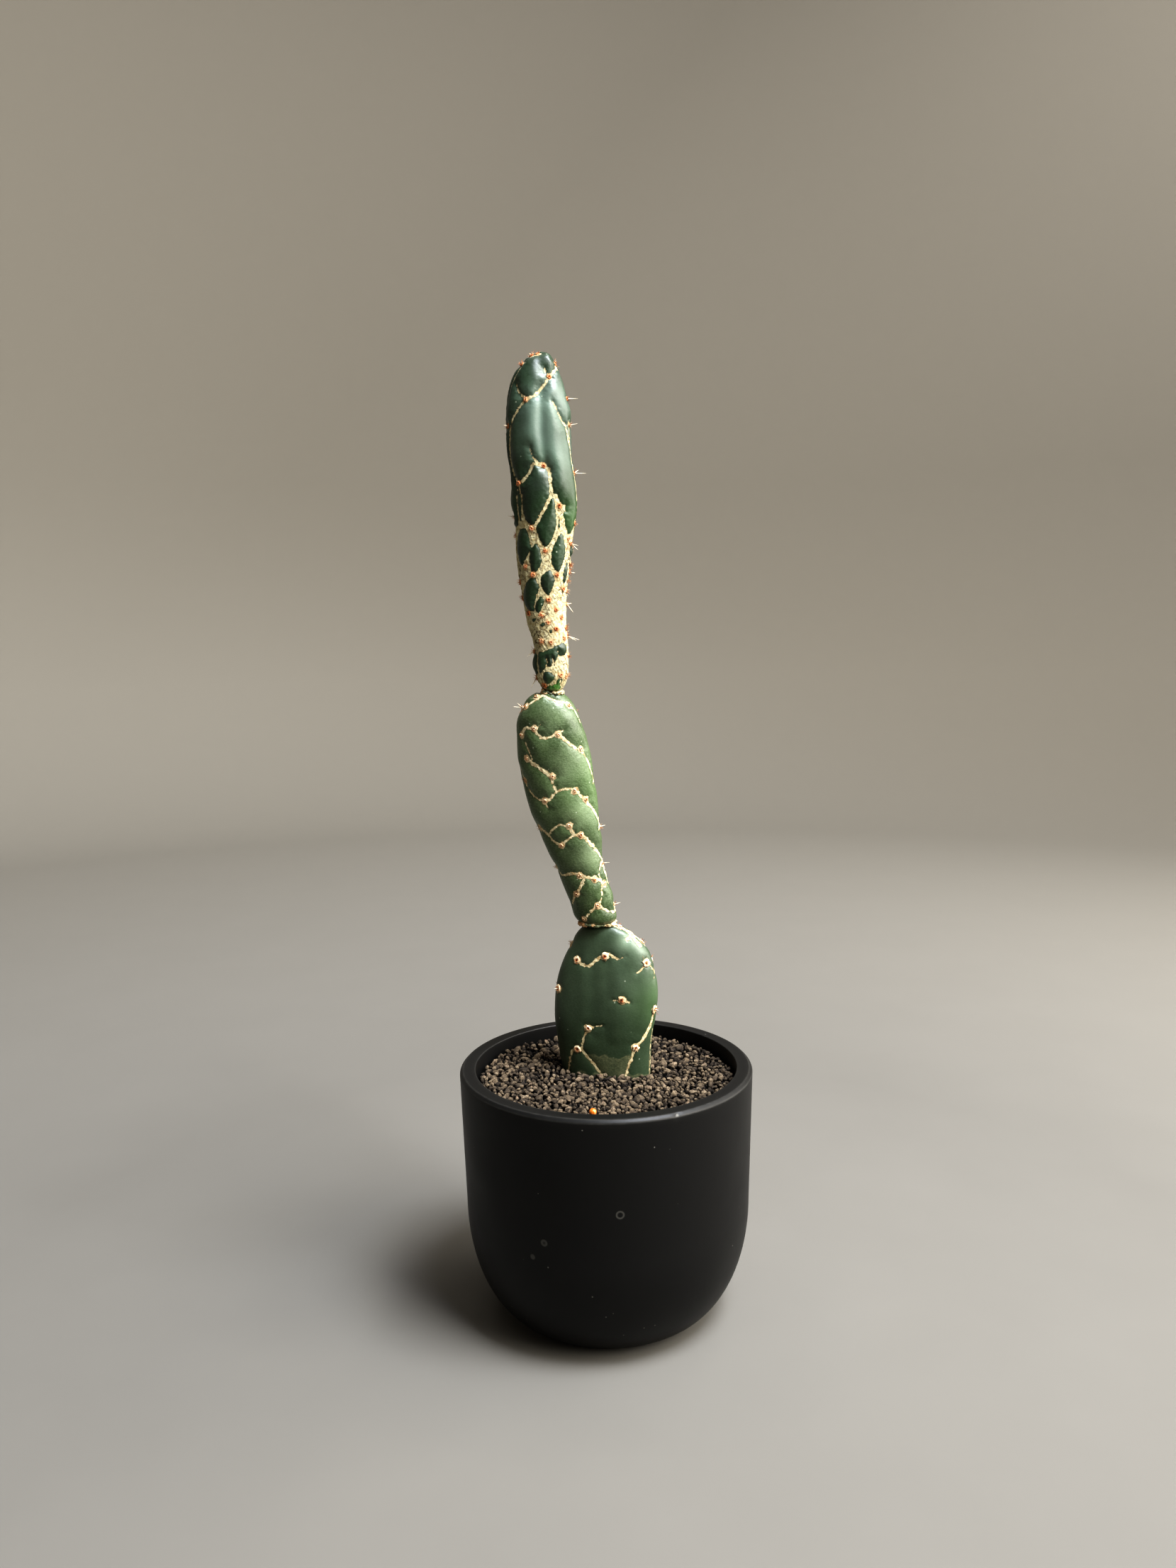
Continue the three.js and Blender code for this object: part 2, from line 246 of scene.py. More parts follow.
def soft_light(name, place, aim, size, watts, colour, spread=180):
    """A rectangular soft light at a place in mm, that faces another. A grid narrows its spread."""
    lamp = bpy.data.lights.new(name, "AREA")
    lamp.shape = "RECTANGLE"
    lamp.size, lamp.size_y = np.array(size) * MM
    lamp.energy = watts
    lamp.color = linear(colour)[:3]
    lamp.spread = math.radians(spread)
    holder = bpy.data.objects.new(name, lamp)
    bpy.context.scene.collection.objects.link(holder)
    back = np.array(place, float) - aim
    side = np.cross([0, 0, 1], back)
    axes = np.eye(4)
    for column, axis in enumerate([side, np.cross(back, side), back]):
        axes[:3, column] = axis / np.linalg.norm(axis)
    axes[:3, 3] = np.array(place) * MM
    holder.matrix_world = Matrix(axes.tolist())
    holder.visible_camera = False


soft_light("window_light", (1030, -600, 880), PLANT_MIDDLE, (1000, 1000), 11, DAYLIGHT, 110)
soft_light("window_side", (1150, 260, 560), PLANT_MIDDLE, (700, 1000), 4, DAYLIGHT, 110)
soft_light("window_top", (420, -330, 1250), PLANT_MIDDLE, (500, 500), 7, COOL_SKY, 90)
for side_name, x, y, watts in WALL_LIGHTS:
    place, aim = (500 * x, 500 * y, 1500), (1600 * x, 1600 * y, 400)
    soft_light("wall_light_" + side_name, place, aim, (1400, 300), watts, WALL_WHITE)

scene = bpy.context.scene
scene.world = bpy.data.worlds.new("studio_air")
scene.world.use_nodes = True
connect(scene.world.node_tree.nodes["Background"], {"Color": "dfe2e6", "Strength": 0.03})
scene.view_settings.view_transform = "Standard"
scene.view_settings.look = "High Contrast"
print("a window in two parts, a soft top light, lights for the walls and a dim sky")

# %% [markdown]
# ## Pot
#
# The pot is moulded in one: a thick straight wall that turns into a round bottom, a flat foot
# with a drainage hole, and a rim with a narrow chamfer. It is a body of revolution, so it is
# turned from one profile. The chamfer's corners are softened a little, because a moulded edge
# never is a knife edge, and it is this soft edge that carries the bright line on the rim.

# %% Pot profile
RIM_RADIUS, _, POT_HEIGHT = np.array(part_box("pot")[1]) / MM
RIM_CHAMFER = 1.1
RIM_INNER_RADIUS = 46.9
WALL_LOW, WALL_LOW_RADIUS, WALL_THICKNESS = 41.6, 51.1, 5.2
FOOT_RADIUS, FOOT_RING_WIDTH, FOOT_RECESS = 28.4, 6, 1.5
FLOOR_THICKNESS, FLOOR_EDGE_INSET, DRAIN_RADIUS = 6, 3, 6
RIM_SOFT, FOOT_SOFT = 0.5, 0.3  # how far the corners are rounded
CORNER_STEPS, ROUND_STEPS = 6, 28
LONGEST_EDGE = 1.6


def round_bottom(level_radius, upright_radius, lowest):
    """A quarter ellipse from its level end to the straight wall, as (radius, height, no softness)."""
    angle = np.linspace(0, np.pi / 2, ROUND_STEPS)
    radius = level_radius + (upright_radius - level_radius) * np.sin(angle)
    height = WALL_LOW - (WALL_LOW - lowest) * np.cos(angle)
    return list(np.stack([radius, height, 0 * angle], -1))


def softened(corners):
    """A closed profile of (radius, height, softness), each corner rounded over its softness."""
    corners = np.asarray(corners, float)
    result = []
    for here, before, after in zip(corners, np.roll(corners, 1, 0), np.roll(corners, -1, 0)):
        if here[2] == 0:
            result.append(here[:2])
            continue
        into, out = before[:2] - here[:2], after[:2] - here[:2]
        start = here[:2] + into / np.linalg.norm(into) * here[2]
        end = here[:2] + out / np.linalg.norm(out) * here[2]
        for t in np.linspace(0, 1, CORNER_STEPS):
            result.append((1 - t) ** 2 * start + 2 * t * (1 - t) * here[:2] + t * t * end)
    return np.array(result)


def filled_in(profile, step):
    """The closed profile with points added so that none of its edges is longer than a step."""
    result = []
    for here, after in zip(profile, np.roll(profile, -1, 0)):
        parts = max(1, math.ceil(np.linalg.norm(after - here) / step))
        result += [here + (after - here) * i / parts for i in range(parts)]
    return np.array(result)


recess_radius = FOOT_RADIUS - FOOT_RING_WIDTH
inner_bottom = round_bottom(
    FOOT_RADIUS - FLOOR_EDGE_INSET, WALL_LOW_RADIUS - WALL_THICKNESS, FLOOR_THICKNESS)
rim_corners = [
    (RIM_RADIUS, POT_HEIGHT - RIM_CHAMFER),
    (RIM_RADIUS - RIM_CHAMFER, POT_HEIGHT),
    (RIM_INNER_RADIUS, POT_HEIGHT),
]
pot_corners = [
    (DRAIN_RADIUS, FOOT_RECESS, FOOT_SOFT),
    (recess_radius - FOOT_RECESS, FOOT_RECESS, FOOT_SOFT),
    (recess_radius, 0, FOOT_SOFT),
    *round_bottom(FOOT_RADIUS, WALL_LOW_RADIUS, 0),
    *[(*corner, RIM_SOFT) for corner in rim_corners],
    *inner_bottom[::-1],
    (DRAIN_RADIUS, FLOOR_THICKNESS, FOOT_SOFT),
]
pot_profile = filled_in(softened(pot_corners), LONGEST_EDGE)
print(f"pot profile of {len(pot_profile)} points")

# %% [markdown]
# The pot is matt black polypropylene, injection moulded against a finely blasted tool. To the eye
# that is a soft grey sheen instead of a mirror. Use has left a few pale specks of dust, faint
# rings where drops of hard water dried, and a slightly polished rim with one small nick. A plain
# black would read as a hole in the picture, so these marks are mixed in from patterns and from
# the wear that each point of the mesh carries.

# %% Pot material
def black_polypropylene():
    """Black polypropylene from a blasted mould: a soft grey sheen, on which dust and lime show."""
    material, shader, add, place = start_material("black_polypropylene_blasted_mould", 1.49, 0.55)
    cloud = add("TexNoise", {"Vector": place, "Scale": every(22), "Detail": 4})
    specks = add("TexVoronoi", {"Vector": place, "Scale": every(6)})
    dust = add("MapRange", {"Value": specks, "From Min": 0.055, "From Max": 0.03, "To Max": 0.35})
    drops = add("TexVoronoi", {"Vector": place, "Scale": every(24)})
    off_ring = add("Math", {0: drops, 1: 0.062}, operation="SUBTRACT")
    ring = add("Math", {0: off_ring}, operation="ABSOLUTE")
    lime = add("MapRange", {"Value": ring, "From Min": 0.014, "From Max": 0.004, "To Max": 0.16})
    wear = add("Attribute", out="Fac", attribute_name="wear")
    scuffs = add("TexNoise", {"Vector": place, "Scale": every(2.5), "Detail": 5})
    scuffed = add("Math", {0: wear, 1: scuffs}, operation="MULTIPLY")
    marks = add("Math", {0: dust, 1: lime}, operation="MAXIMUM")
    marks = add("Math", {0: marks, 1: scuffed}, operation="MAXIMUM")
    body = add("Mix", {0: cloud, 6: "101010", 7: "161615"}, **COLOURS)
    colour = add("Mix", {0: marks, 6: body, 7: "9a9890"}, **COLOURS)
    roughness = add("MapRange", {
        "Value": cloud, "From Min": 0.3, "From Max": 0.7, "To Min": 0.5, "To Max": 0.42})
    # The blasting is about 0.1 mm fine. At that size it would not show, so it is drawn at 0.35 mm.
    grit = add("TexNoise", {"Vector": place, "Scale": every(0.35), "Detail": 2})
    bump = add("Bump", {"Strength": 0.12, "Distance": 0.05 * MM, "Height": grit})
    connect(shader, {"Base Color": colour, "Roughness": roughness, "Normal": bump})
    connect(shader, {"Specular IOR Level": 0.28})  # the blasting traps light
    return material


pot_plastic = black_polypropylene()

# %% Pot mesh
POT_SEGMENTS = 400
NICK = np.array([22.3, -47.3, POT_HEIGHT - 0.6])  # on the front of the rim, right of the middle
NICK_RADIUS, NICK_DENT, NICK_WEAR = 0.9, 0.008, 0.8  # the dent is a share of the pot's radius
EDGE_WEAR, EDGE_WEAR_REACH = 0.1, 0.35

pot_points, pot_faces = turned(pot_profile, POT_SEGMENTS, closed=True)
from_nick = np.linalg.norm(pot_points - NICK, axis=1)
dent = np.exp(-((from_nick / NICK_RADIUS) ** 2))
pot_points[:, :2] *= 1 - NICK_DENT * dent[:, None]
pot_radius = np.hypot(pot_points[:, 0], pot_points[:, 1])
to_edges = [np.hypot(pot_radius - radius, pot_points[:, 2] - height) for radius, height in rim_corners]
edge_wear = EDGE_WEAR * np.exp(-((np.min(to_edges, 0) / EDGE_WEAR_REACH) ** 2))
pot_wear = np.maximum(edge_wear, np.where(from_nick < NICK_RADIUS * 0.6, NICK_WEAR, 0))
make_piece("moulded_pot", pot_points, pot_faces, pot_plastic, "pot_shell", ["pot"], wear=pot_wear)

# %% [markdown]
# ## Potting mix and roots
#
# These two stay as the CAD has them: the gravel hides the mix and the mix hides the roots. They
# still get their own finish, so that they look right if the gravel or the pot is taken away. The
# mix is dark peat with bark crumbs, and the roots have a pale fibrous bark.

# %% Hidden pieces
def peat_and_bark():
    """Damp peat with bark crumbs, loosely filled in: dark, dead matt and lumpy."""
    material, shader, add, place = start_material("peat_and_bark_loose_fill", 1.4, 0.95)
    crumbs = add("TexVoronoi", {"Vector": place, "Scale": every(2.5)})
    tint = add("Mix", {0: crumbs, 6: "3d2c20", 7: "120c08"}, **COLOURS)
    bump = add("Bump", {"Distance": 0.8 * MM, "Height": crumbs})
    connect(shader, {"Base Color": tint, "Normal": bump})
    return material


def root_bark():
    """Young root bark, as grown: pale brown with darker fibres along it."""
    material, shader, add, place = start_material("root_bark_fibrous", 1.45, 0.85)
    along = add("VectorMath", {0: place, 1: (1, 1, 0.2)}, operation="MULTIPLY")
    # The fibres are about 0.3 mm apart. They would not show, so they are drawn at 0.9 mm.
    fibre = add("TexNoise", {"Vector": along, "Scale": every(0.9), "Detail": 4})
    tint = add("Mix", {0: fibre, 6: "6d5236", 7: "c2a47c"}, **COLOURS)
    bump = add("Bump", {"Distance": 0.2 * MM, "Height": fibre})
    connect(shader, {"Base Color": tint, "Normal": bump})
    return material


for node, material in [("potting_mix", peat_and_bark()), ("roots", root_bark())]:
    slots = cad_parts[node].data.materials
    slots.clear()
    slots.append(material)
print("potting mix and roots keep their CAD shape")

# %% [markdown]
# ## Pads: shape
#
# Each pad is one flat, fleshy stem. The frame's pads are stacks of level sections that follow the
# photo's outline, and the fine ones use the same sections on a grid of about a third of a
# millimetre. Smoothing the frame's own meshes would round the outline off and give no grid to
# draw on. Every mark on the skin is then given by its height in millimetres and the side it
# faces in degrees: 0 is the front, 90 the right edge, -90 the left edge and 180 the back.

# %% Pad sections
# The lists are evenly spaced from foot to tip: where the middle is, half the width, and half the
# thickness. Each round end is (height where it closes, over what length, how square it is).
PLANT_Y = 8
PADS = {
    "basal_pad": {
        "foot": 50, "tip": 139.9,
        "middle": [0.6, 0.6, 0.5, 0.5, 0.3, -0.1, -0.1, 0.7, 1.2, 1.6, -0.5],
        "half": [10, 12.4, 14.4, 15.6, 16.3, 17.4, 18.4, 18.8, 18.6, 18.6, 18.5],
        "thick": [5, 5.8, 6.5, 7, 7.3, 7.5, 7.6, 7.5, 7.2, 6.8, 6.5],
        "depth": (0, 0), "yaw": -14, "squareness": 2.5,
        "foot_round": (49, 14, 2), "tip_round": (140.3, 27.3, 2),
    },
    "middle_pad": {
        "foot": 140.2, "tip": 223.2,
        "middle": [-2.3, -4.2, -6.9, -9.4, -11.3, -13.5, -15, -16.2, -17.4, -18.4, -18.5],
        "half": [7.8, 8, 8.45, 9.4, 10.9, 12.05, 12.75, 12.9, 12.3, 11.7, 11.7],
        "thick": [6, 6.2, 6.5, 7, 7.6, 8, 8.1, 8, 7.8, 7.4, 7],
        "depth": (0, -3), "yaw": -8, "squareness": 2.1,
        "foot_round": (139.6, 5.9, 3.5), "tip_round": (224.2, 14.2, 2),
    },
    "top_pad": {
        "foot": 223.5, "tip": 339,
        "middle": [-16.7, -16.9, -17, -18.4, -18.9, -19, -18.9, -18.2, -18.1, -18.6, -19.7, -20.1, -20,
                   -20, -18.9],
        "half": [5, 6.2, 6.3, 7.1, 8, 9.1, 9.9, 10.6, 11.3, 11.25, 11.2, 11.05, 10.9, 10.7, 10.6],
        "thick": [4.8, 5.5, 5.7, 6.2, 6.8, 7.3, 7.7, 8, 8.2, 8.3, 8.3, 8.2, 8, 7.6, 7.4],
        "depth": (-3, -3), "yaw": 0, "squareness": 2.1,
        "foot_round": (223, 6.5, 2.2), "tip_round": (339.01, 22, 2),
    },
}


def through(values, share):
    """The value at a share of the way through a list, on a smooth curve through its values."""
    values = np.asarray(values, float)
    last = len(values) - 1
    place = np.clip(share, 0, 1) * last
    start = np.minimum(place.astype(int), last - 1)
    t = (place - start)[(...,) + (None,) * (values.ndim - 1)]
    a, b = values[np.maximum(start - 1, 0)], values[start]
    c, d = values[start + 1], values[np.minimum(start + 2, last)]
    return b + t * ((c - a) / 2 + t * (a - 2.5 * b + 2 * c - d / 2 + t * (1.5 * (b - c) + (d - a) / 2)))


def rounding(distance, length, power):
    """The share of its width that a pad keeps at a distance from where its end closes."""
    share = np.clip(1 - distance / length, 0, 1)
    return (1 - share**power) ** (1 / power)


def skin_point(pad, height, side):
    """Points of a pad's skin, in millimetres, at heights and facing sides in degrees."""
    height, side = np.broadcast_arrays(np.asarray(height, float), np.radians(side))
    share = (height - pad["foot"]) / (pad["tip"] - pad["foot"])
    foot_closes, foot_length, foot_power = pad["foot_round"]
    tip_closes, tip_length, tip_power = pad["tip_round"]
    kept = rounding(height - foot_closes, foot_length, foot_power)
    kept = kept * rounding(tip_closes - height, tip_length, tip_power)
    power = 2 / pad["squareness"]
    across = np.sign(np.sin(side)) * np.abs(np.sin(side)) ** power * through(pad["half"], share) * kept
    front = np.sign(np.cos(side)) * np.abs(np.cos(side)) ** power
    front = front * through(pad["thick"], share) * kept**0.6
    yaw = math.radians(pad["yaw"])
    x = across * math.cos(yaw) + front * math.sin(yaw) + through(pad["middle"], share)
    y = across * math.sin(yaw) - front * math.cos(yaw) + PLANT_Y
    y = y + pad["depth"][0] + (pad["depth"][1] - pad["depth"][0]) * share
    return np.stack([x, y, height], -1)


for name, pad in PADS.items():
    print(f"{name}: {pad['tip'] - pad['foot']:.1f} mm long, {2 * max(pad['half']):.1f} mm wide")

# %% [markdown]
# The grid's rows and columns are spaced evenly along the skin, not along the height, so that the
# rounded ends get as fine a mesh as the flanks. The buried stretch of the basal pad isn't seen,
# so its rows may lie further apart.

# %% Pad grids
SKIN_STEP = 0.32
BURIED_BELOW = 82
BURIED_STEP = 3
FINE_STEPS = 4000  # before the rows and columns are picked


def even(values, points, step):
    """Values picked again, so that neighbours lie about one step apart along the points."""
    travelled = np.r_[0, np.cumsum(np.linalg.norm(np.diff(points, axis=0), axis=1))]
    return np.interp(np.linspace(0, travelled[-1], round(travelled[-1] / step) + 1), travelled, values)


def skin_grid(pad):
    """Heights, sides, points and outward directions of a pad's grid."""
    heights = np.linspace(pad["foot"], pad["tip"], FINE_STEPS)
    heights = even(heights, skin_point(pad, heights, 90), SKIN_STEP)
    buried = heights < BURIED_BELOW
    heights = np.r_[heights[buried][:: round(BURIED_STEP / SKIN_STEP)], heights[~buried]]
    sides = np.linspace(-180, 180, FINE_STEPS + 1)
    sides = even(sides, skin_point(pad, (pad["foot"] + pad["tip"]) / 2, sides), SKIN_STEP)[:-1]
    points = skin_point(pad, heights[:, None], sides[None])
    up_skin = np.gradient(points, axis=0)
    round_skin = np.roll(points, -1, 1) - np.roll(points, 1, 1)
    out = np.cross(round_skin, up_skin)
    return heights, sides, points, out / np.linalg.norm(out, axis=-1, keepdims=True)


print("a pad's grid has a point every", SKIN_STEP, "mm")

# %% [markdown]
# ## Pads: cork net
#
# This cactus scars in a net: as the skin grows, cream cork forms in lines between the areoles,
# and low on the top pad it spreads until only rounded islands of green are left. Painting the net
# as a texture would leave the skin flat, and on the real plant the islands bulge and the cork
# stands up. So every line and island is traced on the skin, and each point of the grid learns how
# far it lies from the nearest cork. That one distance shapes the relief and colours the skin.
#
# A cork line is (half width at its start, half width at its end, corners), an island of green is
# its outline. All corners are (height, side). The front is the photo's. The back isn't seen in
# the photo, so it gets the front's net turned round and warped.

# %% Cork net of the top pad
TOP_LINES = [
    (0.42, 0.42, [(330, 30), (326.5, 12), (323.5, -4), (322.5, -20)]),
    (0.42, 0.3, [(330, 30), (332.5, 56), (334, 84)]),
    (0.35, 0.1, [(330, 30), (331.5, 22), (333, 20)]),
    (0.3, 0.3, [(332.5, 56), (335.5, 84)]),
    (0.15, 0.18, [(333.5, 76), (329.5, 88), (324, 82)]),
    (0.5, 0.12, [(322.5, -20), (325, -36), (328, -48)]),
    (0.45, 0.22, [(322.5, -20), (321, -28), (318, -42), (314.5, -56)]),
    (0.28, 0.3, [(314.5, -56), (307.5, -64), (300.5, -68), (295, -50)]),
    (0.3, 0.4, [(338.5, 12), (337, -54), (334.5, -60), (331.5, -66), (324, -80), (314.5, -84)]),
    (0.1, 0.4, [(321.5, 30), (318, 40), (315, 52), (314, 64)]),
    (0.4, 0.4, [(314, 64), (309.5, 72), (305, 84), (300.5, 84), (291, 88)]),
    (0.3, 0.55, [(316, 78), (309, 80), (300, 80), (290, 83)]),
    (0.08, 0.5, [(306.5, -14), (303, -10), (301, -3)]),
    (0.6, 0.5, [(301, -6), (300.5, 4), (299.5, 12)]),
    (0.5, 0.6, [(299.5, 12), (294, 12), (291, 12)]),
    (0.4, 0.5, [(301, -12), (298.5, -22), (296, -36), (295, -50)]),
    (0.25, 0.25, [(295, -50), (290.5, -44)]),
    (0.15, 0.15, [(293, -54), (290, -56)]),
    (0.2, 0.2, [(314.5, -84), (300, -88), (294, -88)]),
]
TOP_TONGUES = [
    (0.35, 0.06, [(232.5, -16), (234, -13), (235.5, -16)]),
    (0.3, 0.06, [(232.5, 6), (234.5, 6), (235.5, 4)]),
    (0.4, 0.08, [(234.5, 26), (236.5, 24), (238, 22)]),
    (0.25, 0.1, [(227, 35), (228, 35)]),
    (0.25, 0.1, [(226, -1), (226.5, 2)]),
]
TOP_ISLANDS = [
    [(299.5, -7), (298.5, 0), (294, 9), (291.5, 9), (287.5, 2), (281.5, -16), (280.5, -22), (282, -36),
     (285.5, -42), (293, -40), (297.5, -19)],
    [(289.5, 12), (288, 18), (280.5, 22), (276.5, 18), (273.5, 6), (274.5, -3), (279.5, -15),
     (282.5, -7), (286.5, 4)],
    [(280, -47), (279, -34), (274, -24), (271.5, -30), (267.5, -51), (269, -64), (272, -72),
     (275.5, -70), (278.5, -63)],
    [(274.5, -15), (273, -6), (269.5, -2), (267.5, -4), (265, -16), (266, -27), (271.5, -28)],
    [(278, 34), (276, 44), (273, 52), (270, 52), (265, 36), (266, 24), (269, 16), (272, 18),
     (275.5, 25)],
    [(265.5, 10), (264.5, 21), (261.5, 26), (257, 12), (258.5, 0), (261.5, -6), (264, -2)],
    [(263, -28), (262.5, -16), (259.5, -10), (254, -27), (252, -30), (252, -46), (253.5, -64),
     (256.5, -70), (262, -41)],
    [(256.5, -10), (256, -2), (254.5, 0), (251, -16), (252, -25), (254, -24)],
    [(268.5, 62), (266, 70), (263, 68), (261, 57), (262.5, 50), (265.5, 52)],
    [(299.5, 14), (294, 18), (288, 28), (287.5, 38), (285.5, 39), (284, 36), (278.5, 50), (277.5, 58),
     (279, 70), (282, 82), (290, 84), (300, 84)],
    [(282.5, 28), (281, 30), (279, 29), (280.5, 26)],
    [(293.5, -52), (293, -44), (288, -45), (282.5, -50), (284.5, -56), (290, -56)],
    [(248, -10), (247, -5), (246, -14), (247, -20)],
    [(249.5, -36), (249, -30), (248, -39), (249, -46)],
    [(245.5, 8), (245, 15), (244, 6), (245, 1)],
    [(237, -52), (238, -23), (239.5, 11), (241, 44), (240, 60), (238, 67), (236.5, 50), (236, 22),
     (233, 10), (232.5, -16), (230.5, -38), (231.5, -48)],
    [(231, -10), (230.5, 3), (228.5, 10), (227.5, 2), (226.5, -16), (227.5, -35), (230.5, -27)],
    [(226.5, 14), (228.5, 23), (229, 38), (227.5, 47), (226, 36), (225, 53), (223.7, 40), (223.7, -16),
     (224.5, -46), (225.5, -34), (226, -9)],
]
TOP_EDGE_ISLANDS = [
    [(275.5, 69), (273, 98), (270.5, 98), (270.5, 78), (273.5, 68)],
    [(294, -68), (293.5, -60), (283.5, -60), (281, -66), (281, -96), (285, -112), (294, -104)],
    [(238.5, -90), (237.5, -69), (237, -56), (233, -58), (231, -55), (229.5, -72), (230, -106),
     (236, -118)],
]
JACKET_TOP = 291  # below this height the top pad is cork, but for its islands
TOP_AREOLES = [
    (323.5, 86), (314.6, 80), (298.9, 88), (284.2, -88), (281.6, 84), (276.2, 58), (273.5, 66),
    (267.2, 90), (262.3, 86), (258.7, 82), (254.3, 91), (242.9, 90), (236.3, 81), (238, -87),
    (228.7, -86), (229, 65), (314.5, -70), (338, -63), (335.3, 80), (330.2, 30), (322.3, -20),
    (300.5, 4), (295.1, -50), (286.9, 26), (279.8, -24), (272, 4), (267.1, -42), (263.9, 31),
    (264.1, -22), (278.2, -87), (335.2, -74), (338.5, -18), (259.5, 56), (255.5, 10), (252, 31),
    (249.5, 51), (248, 5), (245.5, 26), (250.5, -11), (251, -53), (242.5, 54), (241.5, -29),
    (241, 2), (246, 74), (268, 84), (229.5, 34), (226, -38), (229.5, -86), (256.5, -84), (262, -80),
]
print("top pad:", len(TOP_LINES), "lines of cork,", len(TOP_ISLANDS), "islands of green,",
      len(TOP_AREOLES), "areoles")

# %% Cork net of the middle pad
MIDDLE_LINES = [
    (0.35, 0.35, [(219, -54), (220.5, -38), (222, -22), (223, -10), (222, 8), (220.5, 36),
                  (220.5, 52)]),
    (0.3, 0.25, [(220.5, 52), (219, 64), (217, 80), (213, 84)]),
    (0.55, 0.5, [(208.5, -54), (211.5, -40), (211, -20)]),
    (0.5, 0.3, [(211, -20), (209, -14), (208, -6), (209, 12), (209.5, 18)]),
    (0.5, 0.4, [(209.5, 18), (206.5, 32), (204, 48), (203.5, 58)]),
    (0.4, 0.3, [(203.5, 58), (200.5, 68), (195.5, 80), (191.5, 96)]),
    (0.3, 0.1, [(211, -20), (212.5, -10)]),
    (0.3, 0.1, [(209.5, 18), (210.5, 28)]),
    (0.2, 0.1, [(206.5, -44), (202, -34), (200.5, -32)]),
    (0.6, 0.65, [(200.5, -44), (198.5, -28), (196, -12), (194.5, -4)]),
    (0.6, 0.35, [(194.5, -4), (191, -2), (189, 0)]),
    (0.35, 0.1, [(194.5, -4), (194.5, 2)]),
    (0.35, 0.5, [(189, 0), (190, 14), (189.5, 30), (187, 40)]),
    (0.5, 0.35, [(187, 40), (183, 62), (180, 78), (175, 96)]),
    (0.4, 0.3, [(189, 0), (186.5, -12), (185.5, -22), (186.5, -38), (189, -54), (192.5, -66),
                (196.5, -76)]),
    (0.3, 0.08, [(185.5, -22), (183, -20)]),
    (0.5, 0.4, [(175.5, -66), (173.5, -44), (171, -34), (169.5, -18)]),
    (0.4, 0.35, [(169.5, -18), (172, 0), (173.5, 12)]),
    (0.3, 0.25, [(173.5, -38), (177, -10), (176.5, 2), (176.5, 8), (173.5, 12)]),
    (0.6, 0.5, [(176.8, 8), (173.5, 12), (173, 28), (170, 44), (168, 56)]),
    (0.5, 0.35, [(168, 56), (165, 76), (160.5, 98), (155, 86)]),
    (0.15, 0.15, [(163, 76), (159, 54), (156, 56)]),
    (0.35, 0.5, [(160.5, -78), (158, -58), (159, -24), (159, -4)]),
    (0.5, 0.5, [(159, -4), (157.5, 24), (157, 40), (155, 62)]),
    (0.45, 0.35, [(158.2, 12), (155, -4), (152.3, -20), (149.8, -42), (147.5, -62)]),
    (0.15, 0.2, [(154.5, 50), (150, 36), (147.5, 18)]),
    (0.45, 0.3, [(147.5, 18), (145, -4), (141, -34)]),
    (0.4, 0.35, [(147.5, 18), (145.5, 42), (144.5, 76), (146.5, 94)]),
]
MIDDLE_AREOLES = [
    (219, -54), (218, -75), (219.2, 64), (208.7, -54), (211.2, -21), (209.3, 18), (203.7, 58),
    (200.7, -44), (194.5, -2), (189.2, 30), (185.7, -22), (175.5, 96), (175.4, -66), (173.3, 24),
    (169.5, -18), (162.2, 84), (160.7, -78), (155, 62), (146.3, 94), (147.3, 18), (186, 50),
    (176.8, 8), (158.5, 0), (157, 34), (151.5, -26), (192.5, -64), (142, -32), (222.5, -38),
]
print("middle pad:", len(MIDDLE_LINES), "lines of cork,", len(MIDDLE_AREOLES), "areoles")

# %% Cork net of the basal pad
BASAL_LINES = [
    (0.5, 0.4, [(126.5, -36), (125, -16), (128.5, -4), (129.5, 4)]),
    (0.45, 0.12, [(129.5, 4), (128, 12), (129, 24)]),
    (0.5, 0.1, [(126.5, 64), (123, 40)]),
    (0.45, 0.1, [(126.5, 64), (121.5, 98)]),
    (0.5, 0.1, [(113, 18), (112.4, 27)]),
    (0.5, 0.1, [(113, 18), (113, 9)]),
    (0.35, 0.08, [(102, -10), (103.5, 1)]),
    (0.25, 0.35, [(102, -10), (98, -16), (94, -20)]),
    (0.4, 0.3, [(94, -20), (93, -34), (86.5, -48), (82, -56)]),
    (0.4, 0.4, [(94, -20), (90.5, -10), (86.5, -2), (82, 4)]),
    (0.4, 0.55, [(109, 80), (103, 72), (101, 66)]),
    (0.6, 0.35, [(103, 72), (98, 54), (95.5, 42)]),
    (0.4, 0.4, [(95.5, 42), (91.5, 36), (88, 30), (83, 26)]),
    (0.25, 0.2, [(101, 88), (83, 86)]),
    (0.9, 0.5, [(139.3, 70), (138.5, 88), (136.5, 98)]),
    (0.5, 0.9, [(138.5, 88), (134.5, 100), (132, 102)]),
    (0.6, 0.5, [(139.2, -44), (139.2, -16)]),
    (0.5, 0.7, [(134.8, 46), (135.6, 66), (135, 82)]),
]
BASAL_AREOLES = [
    (126.7, -36), (128.7, 0), (126.4, 64), (113.3, 18), (131.5, -84), (115.3, -65), (102.1, -10),
    (93.8, -26), (108.8, 80), (95.6, 42), (133, 102), (138.6, 84),
]
print("basal pad:", len(BASAL_LINES), "lines of cork,", len(BASAL_AREOLES), "areoles")

# %% [markdown]
# Corners are joined by smooth curves on the skin and sampled every quarter millimetre. The back's
# marks are the front's turned half round. They are pushed about by slow waves that fade out at the
# edges, so that every line still meets its other half there.

# %% Tracing on the skin
TRACE_STEP = 0.25


